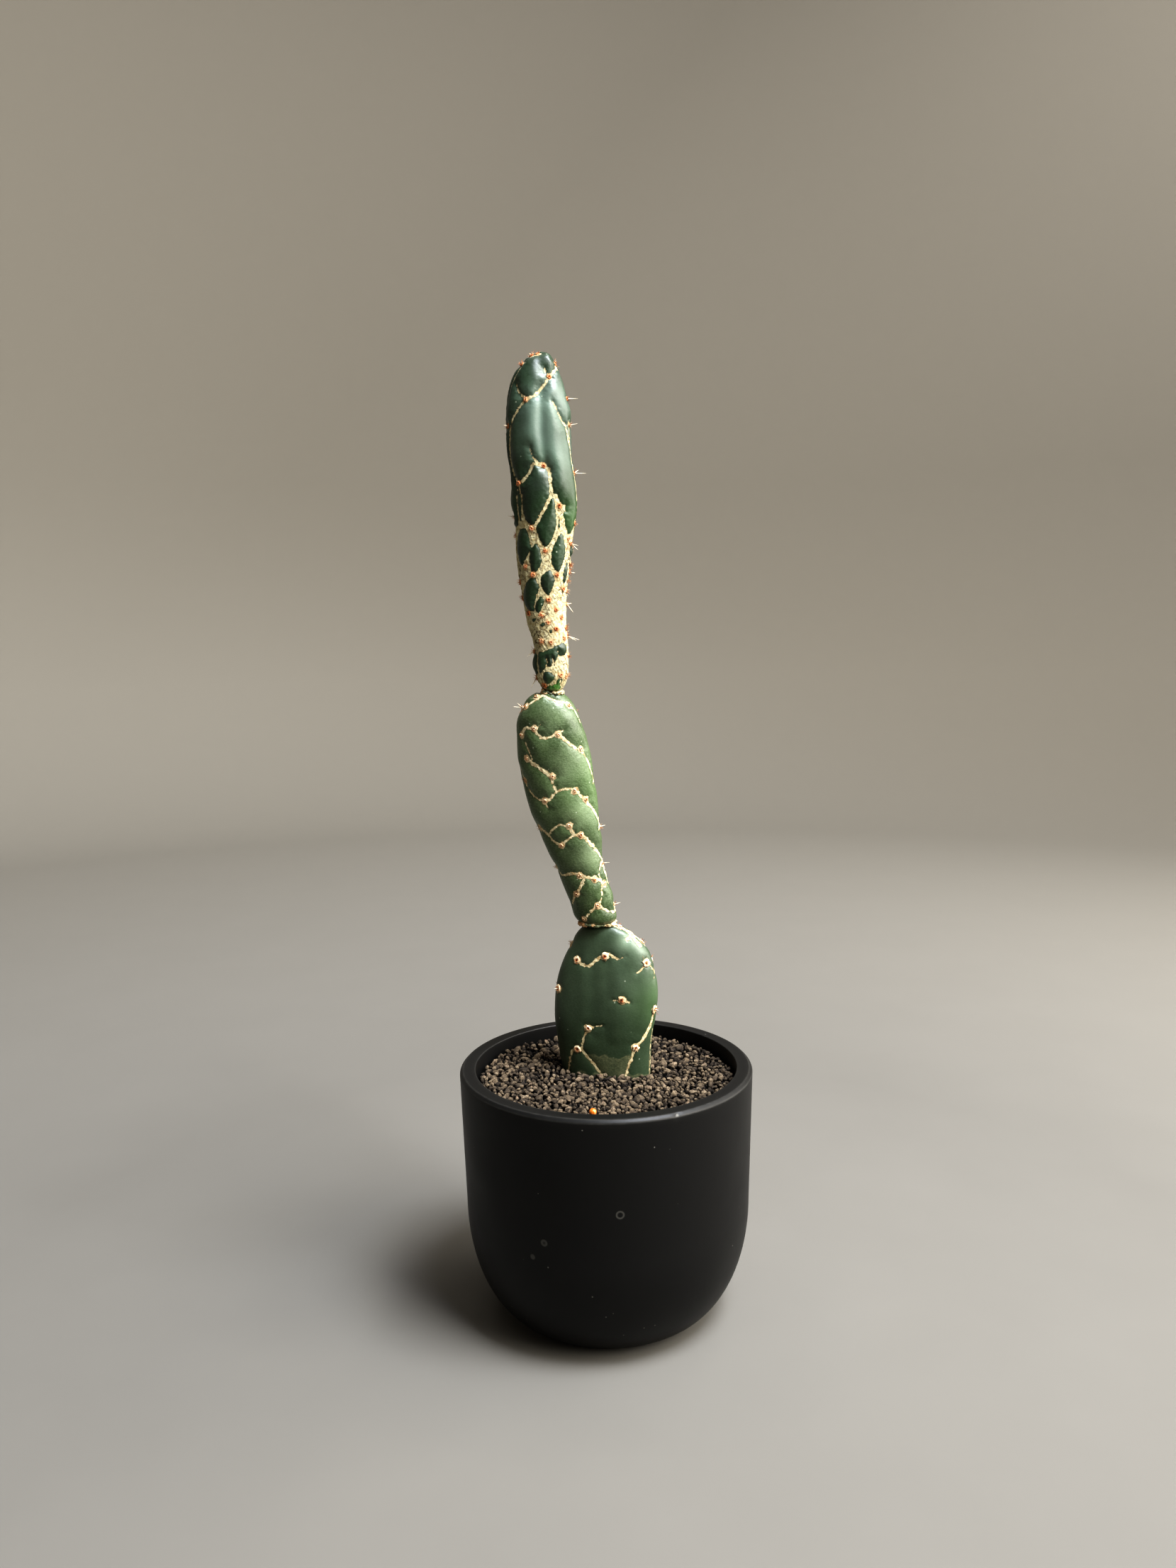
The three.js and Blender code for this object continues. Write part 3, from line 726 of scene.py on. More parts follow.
def trace(pad, corners, closed=False):
    """Heights, sides and points along a smooth curve through corners of (height, side)."""
    corners = np.array(corners, float)
    if closed:
        corners = np.concatenate([corners[-1:], corners, corners[:2]])
    rough = skin_point(pad, *corners.T)
    length = np.linalg.norm(np.diff(rough, axis=0), axis=1).sum()
    last = len(corners) - 1
    start, end = (1 / last, 1 - 1 / last) if closed else (0, 1)
    share = np.linspace(start, end, max(4, round(length / TRACE_STEP)))
    height, side = through(corners, share).T
    return height, side, skin_point(pad, height, side)


def behind(corners):
    """The corners turned to the back of the pad, and pushed about a little."""
    height, side = np.array(corners, float).T
    fade = np.sqrt(np.abs(np.cos(np.radians(side))))
    pushed_up = fade * (2.4 * np.sin(0.19 * height + 1.3) - 1.2)
    pushed_round = 12 * fade * np.sin(0.13 * height)
    return list(zip(height + pushed_up, 180 - side + pushed_round))


def both_faces(shapes):
    """The shapes on the front of a pad, and the same ones turned to its back."""
    return [*shapes, *map(behind, shapes)]


print("the first line of the top pad has", len(trace(PADS["top_pad"], TOP_LINES[0][2])[0]), "points")

# %% [markdown]
# The distance to a cork line is that to the nearest of its points, less the line's half width
# there. For an island the outline's distance counts, below zero on the cork outside it, so every
# point also has to know on which side of the outline it lies.

# %% Distances on the skin
MARK_REACH = 4  # how far from a mark its distance is worked out, in mm
MARKS_AT_ONCE = 10


def distance_to(heights, points, marks, half_widths=0):
    """How far each grid point lies from the nearest round mark, less that mark's half width."""
    nearest = np.full(points.shape[:2], float(MARK_REACH))
    half_widths = np.broadcast_to(half_widths, len(marks))
    for first in range(0, len(marks), MARKS_AT_ONCE):
        some = marks[first : first + MARKS_AT_ONCE]
        low = np.searchsorted(heights, some[:, 2].min() - MARK_REACH)
        high = np.searchsorted(heights, some[:, 2].max() + MARK_REACH)
        for mark, half in zip(some, half_widths[first:]):
            apart = np.sqrt(((points[low:high] - mark) ** 2).sum(-1)) - half
            nearest[low:high] = np.minimum(nearest[low:high], apart)
    return nearest


def inside(heights, sides, height, side):
    """Whether each grid point lies within a closed outline, counting the edges it has above it."""
    grid_side = (sides - side.mean() + 180) % 360 - 180 + side.mean()
    crossings = np.zeros((len(heights), len(sides)), int)
    for h1, s1, h2, s2 in zip(height, side, np.roll(height, -1), np.roll(side, -1)):
        between = (grid_side >= min(s1, s2)) & (grid_side < max(s1, s2))
        if between.any():
            edge = h1 + (grid_side[between] - s1) * (h2 - h1) / (s2 - s1)
            crossings[:, between] += edge[None] > heights[:, None]
    return crossings % 2 == 1


print("distances are worked out up to", MARK_REACH, "mm from a mark")

# %% Distance to the cork
THIN_END = 0.14  # a line whose last half width is below this runs out softly
RUN_OUT_STEPS, RUN_OUT_LOSS = 7, 0.2


def drawn_lines(pad, lines, run_out):
    """Points along cork lines on both faces, and the half width at each, a pair per stretch."""
    stretches = []
    for first, last, corners in lines:
        for one in both_faces([corners]):
            string = trace(pad, one)[2]
            stretches.append((string, np.linspace(first, last, len(string))))
            if run_out and last < THIN_END:
                beyond = np.arange(1, RUN_OUT_STEPS + 1)[:, None]
                ahead_of = string[-1] + (string[-1] - string[-3]) / 2 * beyond
                stretches.append((ahead_of, last - RUN_OUT_LOSS * beyond[:, 0]))
    return stretches


def cork_distance(pad, grid, lines, areoles, knot, islands=(), edge_islands=(), tongues=(), jacket=None):
    """How far each grid point lies from cork: below zero within it, above zero on green skin."""
    heights, sides, points, _ = grid
    knots = skin_point(pad, *np.array(areoles).T)
    stretches = [*drawn_lines(pad, lines, True), (knots, np.full(len(knots), knot))]
    distance = distance_to(heights, points, *map(np.concatenate, zip(*stretches)))
    if jacket is not None:
        bark = np.repeat(heights[:, None] - jacket, len(sides), 1)
        for outline in [*both_faces(islands), *edge_islands]:
            height, side, string = trace(pad, outline, closed=True)
            edge = distance_to(heights, points, string)
            bark = np.maximum(bark, np.where(inside(heights, sides, height, side), edge, -edge))
        distance = np.minimum(distance, bark)
    for string, half_widths in drawn_lines(pad, tongues, False):
        distance = np.minimum(distance, distance_to(heights, points, string, half_widths))
    return distance


print(len(drawn_lines(PADS["basal_pad"], BASAL_LINES, True)), "stretches of line on the basal pad")

# %% [markdown]
# Natural surfaces need slow and fast unevenness. A sum of sine waves in random directions gives a
# smooth one that is quick to work out on whole arrays and comes out the same on every run.

# %% Unevenness
WAVES, WAVE_DIVISOR = 14, 5


def uneven(points, size, seed):
    """Smooth bumps between about -1 and 1, roughly one size in mm apart."""
    draw = np.random.default_rng(seed)
    total = np.zeros(points.shape[:-1])
    for _ in range(WAVES):
        direction = draw.normal(size=3)
        direction *= 2 * np.pi / size * draw.uniform(0.6, 1.3) / np.linalg.norm(direction)
        total += np.sin(points @ direction + draw.uniform(0, 2 * np.pi))
    return total / WAVE_DIVISOR


print(f"a swing of {uneven(np.arange(300)[:, None] * [1, 0, 0], 10, 1).std():.2f} along a test line")

# %% [markdown]
# ## Pads: skin
#
# The skin of a living pad is a tight green epidermis under a coat of wax. The wax gives a broad
# soft sheen and a bluish bloom. The cork is dead, dry tissue: dead matt, cream to tan, cracked
# where it is thick, and stained rust brown round the areoles. Both are one piece of plant, so
# they are one material that changes where the distance to the cork crosses zero. Each half is
# built up as the real one is, in thin layers of colour laid one over the other.

# %% Green half of the skin
def living_skin(add, place, patches, wrinkles, deep, fresh, bloom_and_sheen, wrinkle):
    """Waxed epidermis: slow patches of green, bloom colour on the ripples' crests, real bloom and
    painted highlights laid on in the bloom colour, and dust.
    """
    patch = add("MapRange", {"Value": patches, "From Min": 0.35, "From Max": 0.65})
    # The bloom colour lies on the crests of the ripples, which the bump raises.
    ripple_crest = add("MapRange", {
        "Value": wrinkles, "From Min": 0.36, "From Max": 0.68, "To Max": wrinkle})
    # Painted highlights: where this value is high the bloom colour is laid on, for real bloom and for
    # painted highlight spots.
    wax_and_sheen = add("Attribute", out="Fac", attribute_name="wax_and_sheen")
    dried = add("Attribute", out="Fac", attribute_name="dried")
    fibres = add("Math", {0: dried, 1: wrinkles}, operation="MULTIPLY")
    old_skin = add("Mix", {0: wrinkles, 6: "3f4430", 7: "8b8a6a"}, **COLOURS)
    young = add("Attribute", out="Fac", attribute_name="young")
    specks = add("TexVoronoi", {"Vector": place, "Scale": every(4.5)})
    dust = add("MapRange", {"Value": specks, "From Min": 0.075, "From Max": 0.04, "To Max": 0.55})
    colour = add("Mix", {0: patch, 6: deep, 7: fresh}, **COLOURS)
    for share, layer in [
        (ripple_crest, bloom_and_sheen), (wax_and_sheen, bloom_and_sheen), (fibres, old_skin), (young, "4f8226"), (dust, "b4bba8"),
    ]:
        colour = add("Mix", {0: share, 6: colour, 7: layer}, **COLOURS)
    return colour


# %% Cork half of the skin
CRACK_SPACING, CRACK_WANDER = 2.2, 2.2  # in mm


def dead_cork(add, place, patches, grain, edge, to_cork, pale, tan):
    """Cork scars, as grown: cream and tan, dark in cracks and pits, browner at edge and areole."""
    brown = add("MapRange", {"Value": grain, "From Min": 0.45, "From Max": 0.66})
    colour = add("Mix", {0: brown, 6: pale, 7: tan}, **COLOURS)
    wander = {0: grain.node.outputs["Color"], 1: [CRACK_WANDER * MM] * 3, 2: place}
    warped = add("VectorMath", wander, operation="MULTIPLY_ADD")
    plates = add("TexVoronoi", {"Vector": warped, "Scale": every(CRACK_SPACING)},
                 feature="DISTANCE_TO_EDGE")
    crack = add("MapRange", {"Value": plates, "From Min": 0.07, "From Max": 0.0})
    far_in = add("MapRange", {"Value": to_cork, "From Min": -0.1, "From Max": -0.6})
    here_not_there = add("MapRange", {
        "Value": patches, "From Min": 0.4, "From Max": 0.6, "To Min": 0.15})
    for share in (far_in, here_not_there):
        crack = add("Math", {0: crack, 1: share}, operation="MULTIPLY")
    pit = add("MapRange", {"Value": grain, "From Min": 0.4, "From Max": 0.28, "To Max": 0.75})
    dark = add("Math", {0: crack, 1: pit}, operation="MAXIMUM")
    rim = add("MapRange", {"Value": edge, "From Min": 0.6, "From Max": 0.82, "To Max": 0.6})
    to_areole = add("Attribute", out="Fac", attribute_name="to_areole")
    near_felt = add("MapRange", {
        "Value": to_areole, "From Min": 1.7, "From Max": 0.4, "To Max": 0.95})
    stain = add("Math", {0: near_felt, 1: grain}, operation="MULTIPLY")
    for share, layer in [(dark, "5a4427"), (rim, "8a6b42"), (stain, "ad6a38")]:
        colour = add("Mix", {0: share, 6: colour, 7: layer}, **COLOURS)
    relief = add("Math", {0: crack, 1: -1.2, 2: grain}, operation="MULTIPLY_ADD")
    return colour, relief


# %% Skin material
WAX_ROUGHNESS, CORK_ROUGHNESS = 0.43, 0.9


def waxy_skin(name, deep, fresh, bloom_and_sheen, pale, tan, wrinkle, ripple):
    """Waxed green epidermis with cork scars, as grown: a soft sheen that stops dead at the cork."""
    material, shader, add, place = start_material(name, 1.42, 0.4)
    to_cork = add("Attribute", out="Fac", attribute_name="to_cork")
    # The edge of the cork is ragged at about half a millimetre.
    ragged = add("TexNoise", {"Vector": place, "Scale": every(1.0), "Detail": 5, "Roughness": 0.7})
    edge = add("Math", {0: ragged, 1: 1.5, 2: to_cork}, operation="MULTIPLY_ADD")
    green = add("MapRange", {"Value": edge, "From Min": 0.8, "From Max": 0.86})
    patches = add("TexNoise", {"Vector": place, "Scale": every(9), "Detail": 3})
    # Cells are far too fine to show, so the skin's level ripples are drawn at 0.55 mm instead.
    level = add("VectorMath", {0: place, 1: (0.75, 0.75, 1.2)}, operation="MULTIPLY")
    wrinkles = add("TexNoise", {
        "Vector": level, "Scale": every(0.55), "Detail": 3, "Distortion": 0.5})
    grain = add("TexNoise", {"Vector": place, "Scale": every(1.3), "Detail": 6, "Roughness": 0.62})
    living = living_skin(add, place, patches, wrinkles, deep, fresh, bloom_and_sheen, wrinkle)
    cork, cork_relief = dead_cork(add, place, patches, grain, edge, to_cork, pale, tan)
    colour = add("Mix", {0: green, 6: cork, 7: living}, **COLOURS)
    roughness = add("MapRange", {
        "Value": green, "To Min": CORK_ROUGHNESS, "To Max": WAX_ROUGHNESS})
    ripples = add("Math", {0: wrinkles, 1: ripple}, operation="MULTIPLY")
    height = add("Mix", {0: green, 2: cork_relief, 3: ripples})
    bump = add("Bump", {"Strength": 0.9, "Distance": 0.22 * MM, "Height": height})
    connect(shader, {"Base Color": colour, "Roughness": roughness, "Normal": bump})
    connect(shader, {"Specular IOR Level": 0.8})  # wax on top of the skin
    return material


# Colours are of deep and fresh green, of bloom and painted sheen, and of pale and tan cork. Then come
# how much the ripples' crests are tinted with that bloom colour, and how high the ripples stand.
PAD_SKINS = {
    name: waxy_skin("waxed_epidermis_" + name.removesuffix("_pad"), *look)
    for name, look in {
        "basal_pad": ("2d3c29", "354430", "8c9f88", "d2c7a2", "a28b60", 0.05, 0.16),
        "middle_pad": ("2b3d1a", "394c26", "9fae8d", "ddd2b0", "ae976c", 0.16, 0.4),
        "top_pad": ("12230f", "1b3317", "9fb5a9", "beb795", "9b8c63", 0.03, 0.16),
    }.items()
}
print(", ".join(PAD_SKINS), "have their skins")

# %% [markdown]
# The relief follows the same distance. Green swells up from the cork's edge like a cushion, the
# cork stands a little proud of that edge and is crumbly, and the upper half of the top pad has
# shrunk in long upright hollows, as a thirsty pad does.

# %% Relief
SWELLS = {"basal_pad": (0.35, 1.1), "middle_pad": (0.7, 1.9), "top_pad": (1.05, 1.5)}  # how far, within
CORK_HEIGHT, CRUMBS, CORK_EDGE = 0.12, 0.15, 0.35  # the edge is as wide as the cork takes to rise
SLOW_WAVES = 0.15
HOLLOWS = {  # depth, half width, corners
    "basal_pad": [
        (0.3, 3, [(123, -10), (112, -6), (100, -6)]),
        (-0.25, 3, [(123, 12), (112, 13), (100, 14)]),
        (0.22, 2.6, [(119, 36), (111, 38), (102, 38)]),
    ],
    "middle_pad": [],
    "top_pad": [
        (0.8, 2.0, [(326, 9), (314, 7), (304, 8), (299, 10)]),
        (0.3, 2.6, [(322, -30), (309, -34), (299, -34)]),
        (-0.25, 2.6, [(321, -10), (312, -12), (303, -10)]),
        (-0.2, 2.6, [(325, 34), (309, 32), (293, 30)]),
        (-0.4, 1.9, [(336.5, 34), (334.5, 36)]),
        (0.35, 1.6, [(337, 2), (331, 10)]),
    ],
}


def relief(name, grid, to_cork):
    """How far each grid point stands out from the plain section, in mm."""
    heights, _, points, _ = grid
    swell, swell_length = SWELLS[name]
    green = swell * (1 - np.exp(-np.clip(to_cork, 0, None) / swell_length))
    rise = np.clip(-to_cork / CORK_EDGE, 0, 1)
    crumbs = 0.6 * uneven(points, 1.5, 3) + 0.6 * uneven(points, 0.85, 4)
    cork = CORK_HEIGHT * rise + CRUMBS * rise * crumbs
    lift = np.where(to_cork > 0, green, cork) - swell / 2 + SLOW_WAVES * uneven(points, 14, 5)
    for depth, width, corners in HOLLOWS[name]:
        for one in both_faces([corners]):
            away = distance_to(heights, points, trace(PADS[name], one)[2])
            lift -= depth * (np.exp(-((away / width) ** 2)) - np.exp(-((MARK_REACH / width) ** 2)))
    return lift


print("green swells by up to", max(SWELLS.values())[0], "mm")

# %% [markdown]
# Where one pad sits on another, the old joint is sealed with a crust of cork and torn brown skin.
# Raising the pads' own skins there would leave a gap between the two, so the crust is a lumpy
# ring of its own, laid round the upper pad's foot and joined to that pad's mesh.

# %% Joint crust
CRUST_STEPS, CRUST_SIDES = 200, 22
# The upper pad's height whose outline the ring follows, its own height, radius and seed.
CRUSTS = {"middle_pad": (140.4, 139.8, 1.0, 31), "top_pad": (224.2, 223.4, 1.2, 41)}
CRUST_AT_FRONT, MORE_AT_SIDES, LUMPINESS = 0.22, 0.6, 0.3  # shares of the radius
THINNEST, THICKEST = 0.1, 2


def joint_crust(name):
    """Points and faces of a lumpy ring round a pad's foot, and how much each is at the side."""
    path_height, ring_height, radius, seed = CRUSTS[name]
    side = np.arange(CRUST_STEPS) * 360 / CRUST_STEPS
    path = skin_point(PADS[name], path_height, side)
    path[:, 2] = ring_height
    heart = path.mean(0)
    outward = (path - heart) / np.linalg.norm(path - heart, axis=1, keepdims=True)
    turn = np.arange(CRUST_SIDES) * 2 * np.pi / CRUST_SIDES
    section = np.cos(turn)[None, :, None] * outward[:, None] + np.sin(turn)[None, :, None] * [0, 0, 1]
    at_side = np.sin(np.radians(side)) ** 2
    smooth_ring = path[:, None] + radius * section
    thick = CRUST_AT_FRONT + MORE_AT_SIDES * at_side + LUMPINESS * uneven(path, 5, seed)
    lumps = thick[:, None] + LUMPINESS * uneven(smooth_ring, 1.6, seed + 1)
    lumps += LUMPINESS * np.abs(uneven(smooth_ring, 0.8, seed + 2))  # torn tips
    points = path[:, None] + radius * section * np.clip(lumps, THINNEST, THICKEST)[..., None]
    faces = ring_faces(CRUST_STEPS, CRUST_SIDES, True)[:, ::-1]
    return points.reshape(-1, 3), faces, np.repeat(at_side, CRUST_SIDES)


print(len(CRUSTS), "joints get a crust")

# %% [markdown]
# The rest of what the skin shows isn't the same all over either: a thin bloom coats young skin,
# painted highlights are laid on as spots of thick bloom colour, young tissue is brighter, and old
# skin dries at the foot. These are soft spots and bands, worked
# out per point as plain numbers, which the skin's material then reads.

# %% Bloom, youth and age
# Painted highlights: spots where the bloom colour is laid on thick, for the window's broad highlights
# over some real bloom: (how much, height, side, reach in mm).
BLOOM_AND_HIGHLIGHT_SPOTS = {
    "basal_pad": [(0.45, 133.5, 34, 3.8), (0.2, 131, 62, 3), (0.12, 119, 30, 9)],
    "middle_pad": [(0.14, 215, 15, 6), (0.24, 197, 25, 7), (0.3, 181, 30, 6), (0.26, 165, 30, 5)],
    "top_pad": [(0.18, 322, 8, 7), (0.2, 312, 4, 7), (0.18, 303, 22, 6), (0.12, 322, 45, 6)],
}
# Young tissue is a brighter, yellower green: (how much, height, side, reach in mm).
YOUNG = {
    "basal_pad": [(0.15, 112, 84, 9)],
    "middle_pad": [(0.15, 190, 86, 12)],
    "top_pad": [(0.5, 225.2, 14, 2.6), (0.12, 287, 74, 9), (0.1, 281, 62, 5)],
}
# Young skin keeps its bloom: it starts at one height and is full at the other.
BLOOM_RISE = {"basal_pad": (100, 135), "middle_pad": (140, 160), "top_pad": (288, 306)}
# Old skin at a pad's foot dries out: (how much, up to what height, its sides there and below).
ALL_ROUND = (-190, 190)
DRIED = {
    "basal_pad": [(0.8, 92.3, (-18, 39), (5, 25)), (0.7, 85.6, ALL_ROUND, ALL_ROUND)],
    "middle_pad": [(0.9, 141.6, ALL_ROUND, ALL_ROUND)],
    "top_pad": [(0.9, 225, ALL_ROUND, ALL_ROUND)],
}
DRIED_DEEP = 10  # how far down the lower sides hold, in mm
DRIED_FADE = 0.5  # how soft the edge of the dry skin is, in mm
SHED_LINE, SHED_AT, SHED_WIDTH = 0.9, 0.9, 0.7  # how much paler, where and how wide, in fades


def spots(pad, points, places):
    """The sum of soft round spots on the skin."""
    total = np.zeros(points.shape[:2])
    for amount, height, side, reach in places:
        away = points - skin_point(pad, height, side)
        total += amount * np.exp(-(away**2).sum(-1) / reach**2)
    return total


def bloom_and_highlights(name, points):
    """How thick the bloom colour lies: a thin uneven coat of real bloom on young skin, and spots of
    painted highlight.
    """
    start, full = BLOOM_RISE[name]
    coat = np.clip(0.03 + 0.03 * uneven(points, 7, 11), 0, 1)
    coat = coat * np.clip((points[..., 2] - start) / (full - start), 0, 1)
    return coat + spots(PADS[name], points, BLOOM_AND_HIGHLIGHT_SPOTS[name])


def dried_out(name, grid):
    """How dry the skin is, with a pale line where the living skin has shed it."""
    heights, sides, points, _ = grid
    dried = np.zeros(points.shape[:2])
    for amount, top, at_top, lower in DRIED[name]:
        share = np.clip((top - heights) / DRIED_DEEP, 0, 1)[:, None]
        first, last = (a + (b - a) * share for a, b in zip(at_top, lower))
        turned_in = np.minimum(sides - first, last - sides) / 2
        below = (top + 0.9 * uneven(points, 4, 12) - heights[:, None]) / DRIED_FADE
        shed_line = 1 + SHED_LINE * np.exp(-(((below - SHED_AT) / SHED_WIDTH) ** 2))
        dried = np.maximum(dried, amount * shed_line * np.clip(below, 0, 1) * np.clip(turned_in, 0, 1))
    return dried


print(sum(map(len, BLOOM_AND_HIGHLIGHT_SPOTS.values())), "places where the bloom lies thick")

# %% Building the pads
FRONT_SIDES = 76  # areoles up to this side are also turned to the back
PAD_MARKS = {
    "basal_pad": dict(lines=BASAL_LINES, areoles=BASAL_AREOLES, knot=1.5),
    "middle_pad": dict(lines=MIDDLE_LINES, areoles=MIDDLE_AREOLES, knot=1.3),
    "top_pad": dict(lines=TOP_LINES, islands=TOP_ISLANDS, edge_islands=TOP_EDGE_ISLANDS,
                    tongues=TOP_TONGUES, areoles=TOP_AREOLES, knot=1.05, jacket=JACKET_TOP),
}


def add_crust(name, points, faces, values):
    """The pad's points, faces and values with those of its joint crust: dry, corky and torn."""
    crust_points, crust_faces, at_side = joint_crust(name)
    # The left is stained as near felt, and the sides are cork where front and back are dry skin.
    torn = np.clip(1.2 + 0.14 * (crust_points[:, 0] - crust_points[:, 0].mean()), 0.3, 2)
    corky = 0.4 - 0.9 * at_side + 0.5 * uneven(crust_points, 3, 6)
    crust_values = {"to_cork": corky, "to_areole": torn, "wax_and_sheen": 0.1, "dried": 1, "young": 0}
    faces = faces + (crust_faces + len(points)).tolist()
    values = {key: np.append(value, np.broadcast_to(crust_values[key], len(crust_points)))
              for key, value in values.items()}
    return np.concatenate([points, crust_points]), faces, values


pad_surfaces = {}
for name, pad in PADS.items():
    grid = skin_grid(pad)
    heights, sides, points, out = grid
    marks = PAD_MARKS[name]
    on_front = [one for one in marks["areoles"] if abs(one[1]) < FRONT_SIDES]
    marks["areoles"] = [*marks["areoles"], *behind(on_front)]
    to_cork = cork_distance(pad, grid, **marks)
    to_cork += 0.17 * uneven(points, 1.9, 7) + 0.1 * uneven(points, 0.9, 8)
    surface = points + out * relief(name, grid, to_cork)[..., None]
    pad_surfaces[name] = (heights, sides, surface, out)
    values = {
        "to_cork": to_cork,
        "to_areole": distance_to(heights, points, skin_point(pad, *np.array(marks["areoles"]).T)),
        # real bloom, and painted highlight spots laid on in the bloom colour
        "wax_and_sheen": bloom_and_highlights(name, points),
        "dried": dried_out(name, grid),
        "young": spots(pad, points, YOUNG[name]),
    }
    rows, columns = surface.shape[:2]
    foot_cap, tip_cap = range(columns)[::-1], range((rows - 1) * columns, rows * columns)
    faces = [*ring_faces(rows, columns).tolist(), list(foot_cap), list(tip_cap)]
    shape = (surface.reshape(-1, 3), faces, values)
    points, faces, values = add_crust(name, *shape) if name in CRUSTS else shape
    make_piece(name + "_skin", points, faces, PAD_SKINS[name], name + "_skin", [name], **values)

# %% [markdown]
# ## Areoles and spines
#
# An areole is the cactus's cushion of felt: a low lumpy mound of rust-brown wool, from which short
# bristles and now and then a longer cream spine grow. It sits in the cork, and the pad's edge is
# where most spines are. Hair curves would be lost in the export, so wool, bristles and spines are
# all real meshes: mounds from turned rings, and thin curved cones lofted along a bent line.

# %% Cones and mounds
MOUND_SIDES, MOUND_HEIGHT = 16, 0.3
MOUND_PROFILE = np.array([  # shares of its radius and height, from under the skin to the dip
    (0.9, -1), (1, 0), (0.94, 0.5), (0.74, 0.95), (0.5, 0.9), (0.3, 0.65), (0.14, 0.55)])
BLUNT = 0.25  # the share of its radius that a spine keeps at its tip


def capped_faces(rings, sides):
    """Faces of a tube of rings, with its tip and its foot closed by the last two points."""
    top, tip, foot = (rings - 1) * sides, rings * sides, rings * sides + 1
    faces = ring_faces(rings, sides).tolist()
    faces += [[top + k, top + (k + 1) % sides, tip] for k in range(sides)]
    faces += [[(k + 1) % sides, k, foot] for k in range(sides)]
    return faces


def cone(foot, direction, bend, length, radius, sides, rings):
    """Points and faces of a thin cone that bends on its way out."""
    direction = direction / np.linalg.norm(direction)
    first = np.cross(direction, [0.31, 0.22, 0.92])
    first /= np.linalg.norm(first)
    second = np.cross(direction, first)
    way = np.linspace(0, 1, rings)[:, None]
    line = foot + direction * way * length + np.asarray(bend) * length * way**2
    wide = radius * (1 - (1 - BLUNT) * way**1.6)
    turn = np.arange(sides) * 2 * np.pi / sides
    around = np.cos(turn)[:, None] * first + np.sin(turn)[:, None] * second
    points = (line[:, None] + around[None] * wide[:, None]).reshape(-1, 3)
    points = np.concatenate([points, [line[-1] + direction * radius * 0.8, foot]])
    return points, capped_faces(rings, sides)


def felt_mound(foot, out, across, radius, seed):
    """A low lumpy ring of wool on the skin, and how near each point is to its heart."""
    local = turned(MOUND_PROFILE * [radius, MOUND_HEIGHT], MOUND_SIDES)[0]
    local = np.concatenate([local, [[0, 0, MOUND_HEIGHT * 0.6], [0, 0, -MOUND_HEIGHT]]])
    heart = np.clip(1.5 - 2.6 * np.hypot(local[:, 0], local[:, 1]) / radius, 0, 1)
    local = local * (1 + 0.3 * uneven(local, 0.8, seed) + 0.28 * uneven(local, 0.4, seed + 1))[:, None]
    points = foot + local @ np.stack([across, np.cross(out, across), out])
    return points, capped_faces(len(MOUND_PROFILE), MOUND_SIDES), heart


print("a mound of felt has", len(capped_faces(len(MOUND_PROFILE), MOUND_SIDES)), "faces")

# %% [markdown]
# The wool is rust brown when young and fades to cream. The spines are bone coloured, with a
# brown foot. One value per point, 0 for cream and 1 for rust, tells the material which is which.

# %% Spine material
def dry_spine_and_wool():
    """Dead dry fibre, as grown: cream spines with a dull gloss, and matt rusty wool."""
    material, shader, add, place = start_material("spines_and_wool_dry", 1.5, 0.6)
    rust = add("Attribute", out="Fac", attribute_name="rust")
    # Real wool hairs are 0.02 mm thick. Tufts of them show, so the fluff is drawn at 0.35 mm.
    fluff = add("TexNoise", {"Vector": place, "Scale": every(0.35), "Detail": 4})
    mixed = add("Math", {0: fluff, 1: 0.5, 2: rust}, operation="MULTIPLY_ADD")
    shifted = add("Math", {0: mixed, 1: 0.25}, operation="SUBTRACT")
    colour = add("ValToRGB", {"Fac": shifted}, stops={
        0: "ece2cb", 0.25: "d2bb98", 0.5: "bf8a60", 0.75: "a85c2c", 1: "4e2712"})
    roughness = add("MapRange", {"Value": rust, "To Min": 0.5, "To Max": 0.95})
    bump = add("Bump", {"Strength": 0.8, "Distance": 0.1 * MM, "Height": fluff})
    connect(shader, {"Base Color": colour, "Roughness": roughness, "Normal": bump})
    return material


wool_and_spines = dry_spine_and_wool()

# %% Spines by pad
# Each is (height, side, then a length in mm and a rise in degrees for each of its long spines).
SPINES = {
    "basal_pad": [
        (126.4, 64, (0.9, 20)), (131.5, -88, (1.1, 10)), (115.3, -66, (1.1, 0)), (108.8, 80, (1.1, 10)),
    ],
    "middle_pad": [
        (218.4, -72, (2.8, -20), (2.2, 15)), (175.5, 94, (1.4, 10)), (162.2, 80, (2.2, 0)),
        (146.8, 92, (1.8, 0)),
    ],
    "top_pad": [
        (323.5, 86, (3.4, -12)), (314.6, 82, (2.4, 5)), (298.9, 88, (3.6, -8), (1.5, 30)),
        (274.5, 72, (2.2, -5), (2.6, -35)), (265, 88, (1.6, 5)), (254.3, 90, (3, -45), (1.4, 10)),
        (242.9, 90, (3.8, -18), (3, -30)), (314.5, -70, (1.2, 10)), (284.2, -88, (1.9, 20)),
        (238, -87, (2.4, -30)), (228.7, -86, (3.2, -42)),
    ],
}
FELT_SIZE = {"basal_pad": 1.3, "middle_pad": 0.6, "top_pad": 0.8}
WOOL_RUST = {"basal_pad": (0.2, 1.15), "middle_pad": (0.25, 1.0), "top_pad": (0.55, 0.9)}  # rim, heart
BRISTLES = {"basal_pad": 7, "middle_pad": 6, "top_pad": 14}
SPINE_RADIUS, SPINE_SIDES, SPINE_RINGS = 0.17, 8, 7
BRISTLE_RADIUS, BRISTLE_SIDES, BRISTLE_RINGS = 0.07, 3, 3
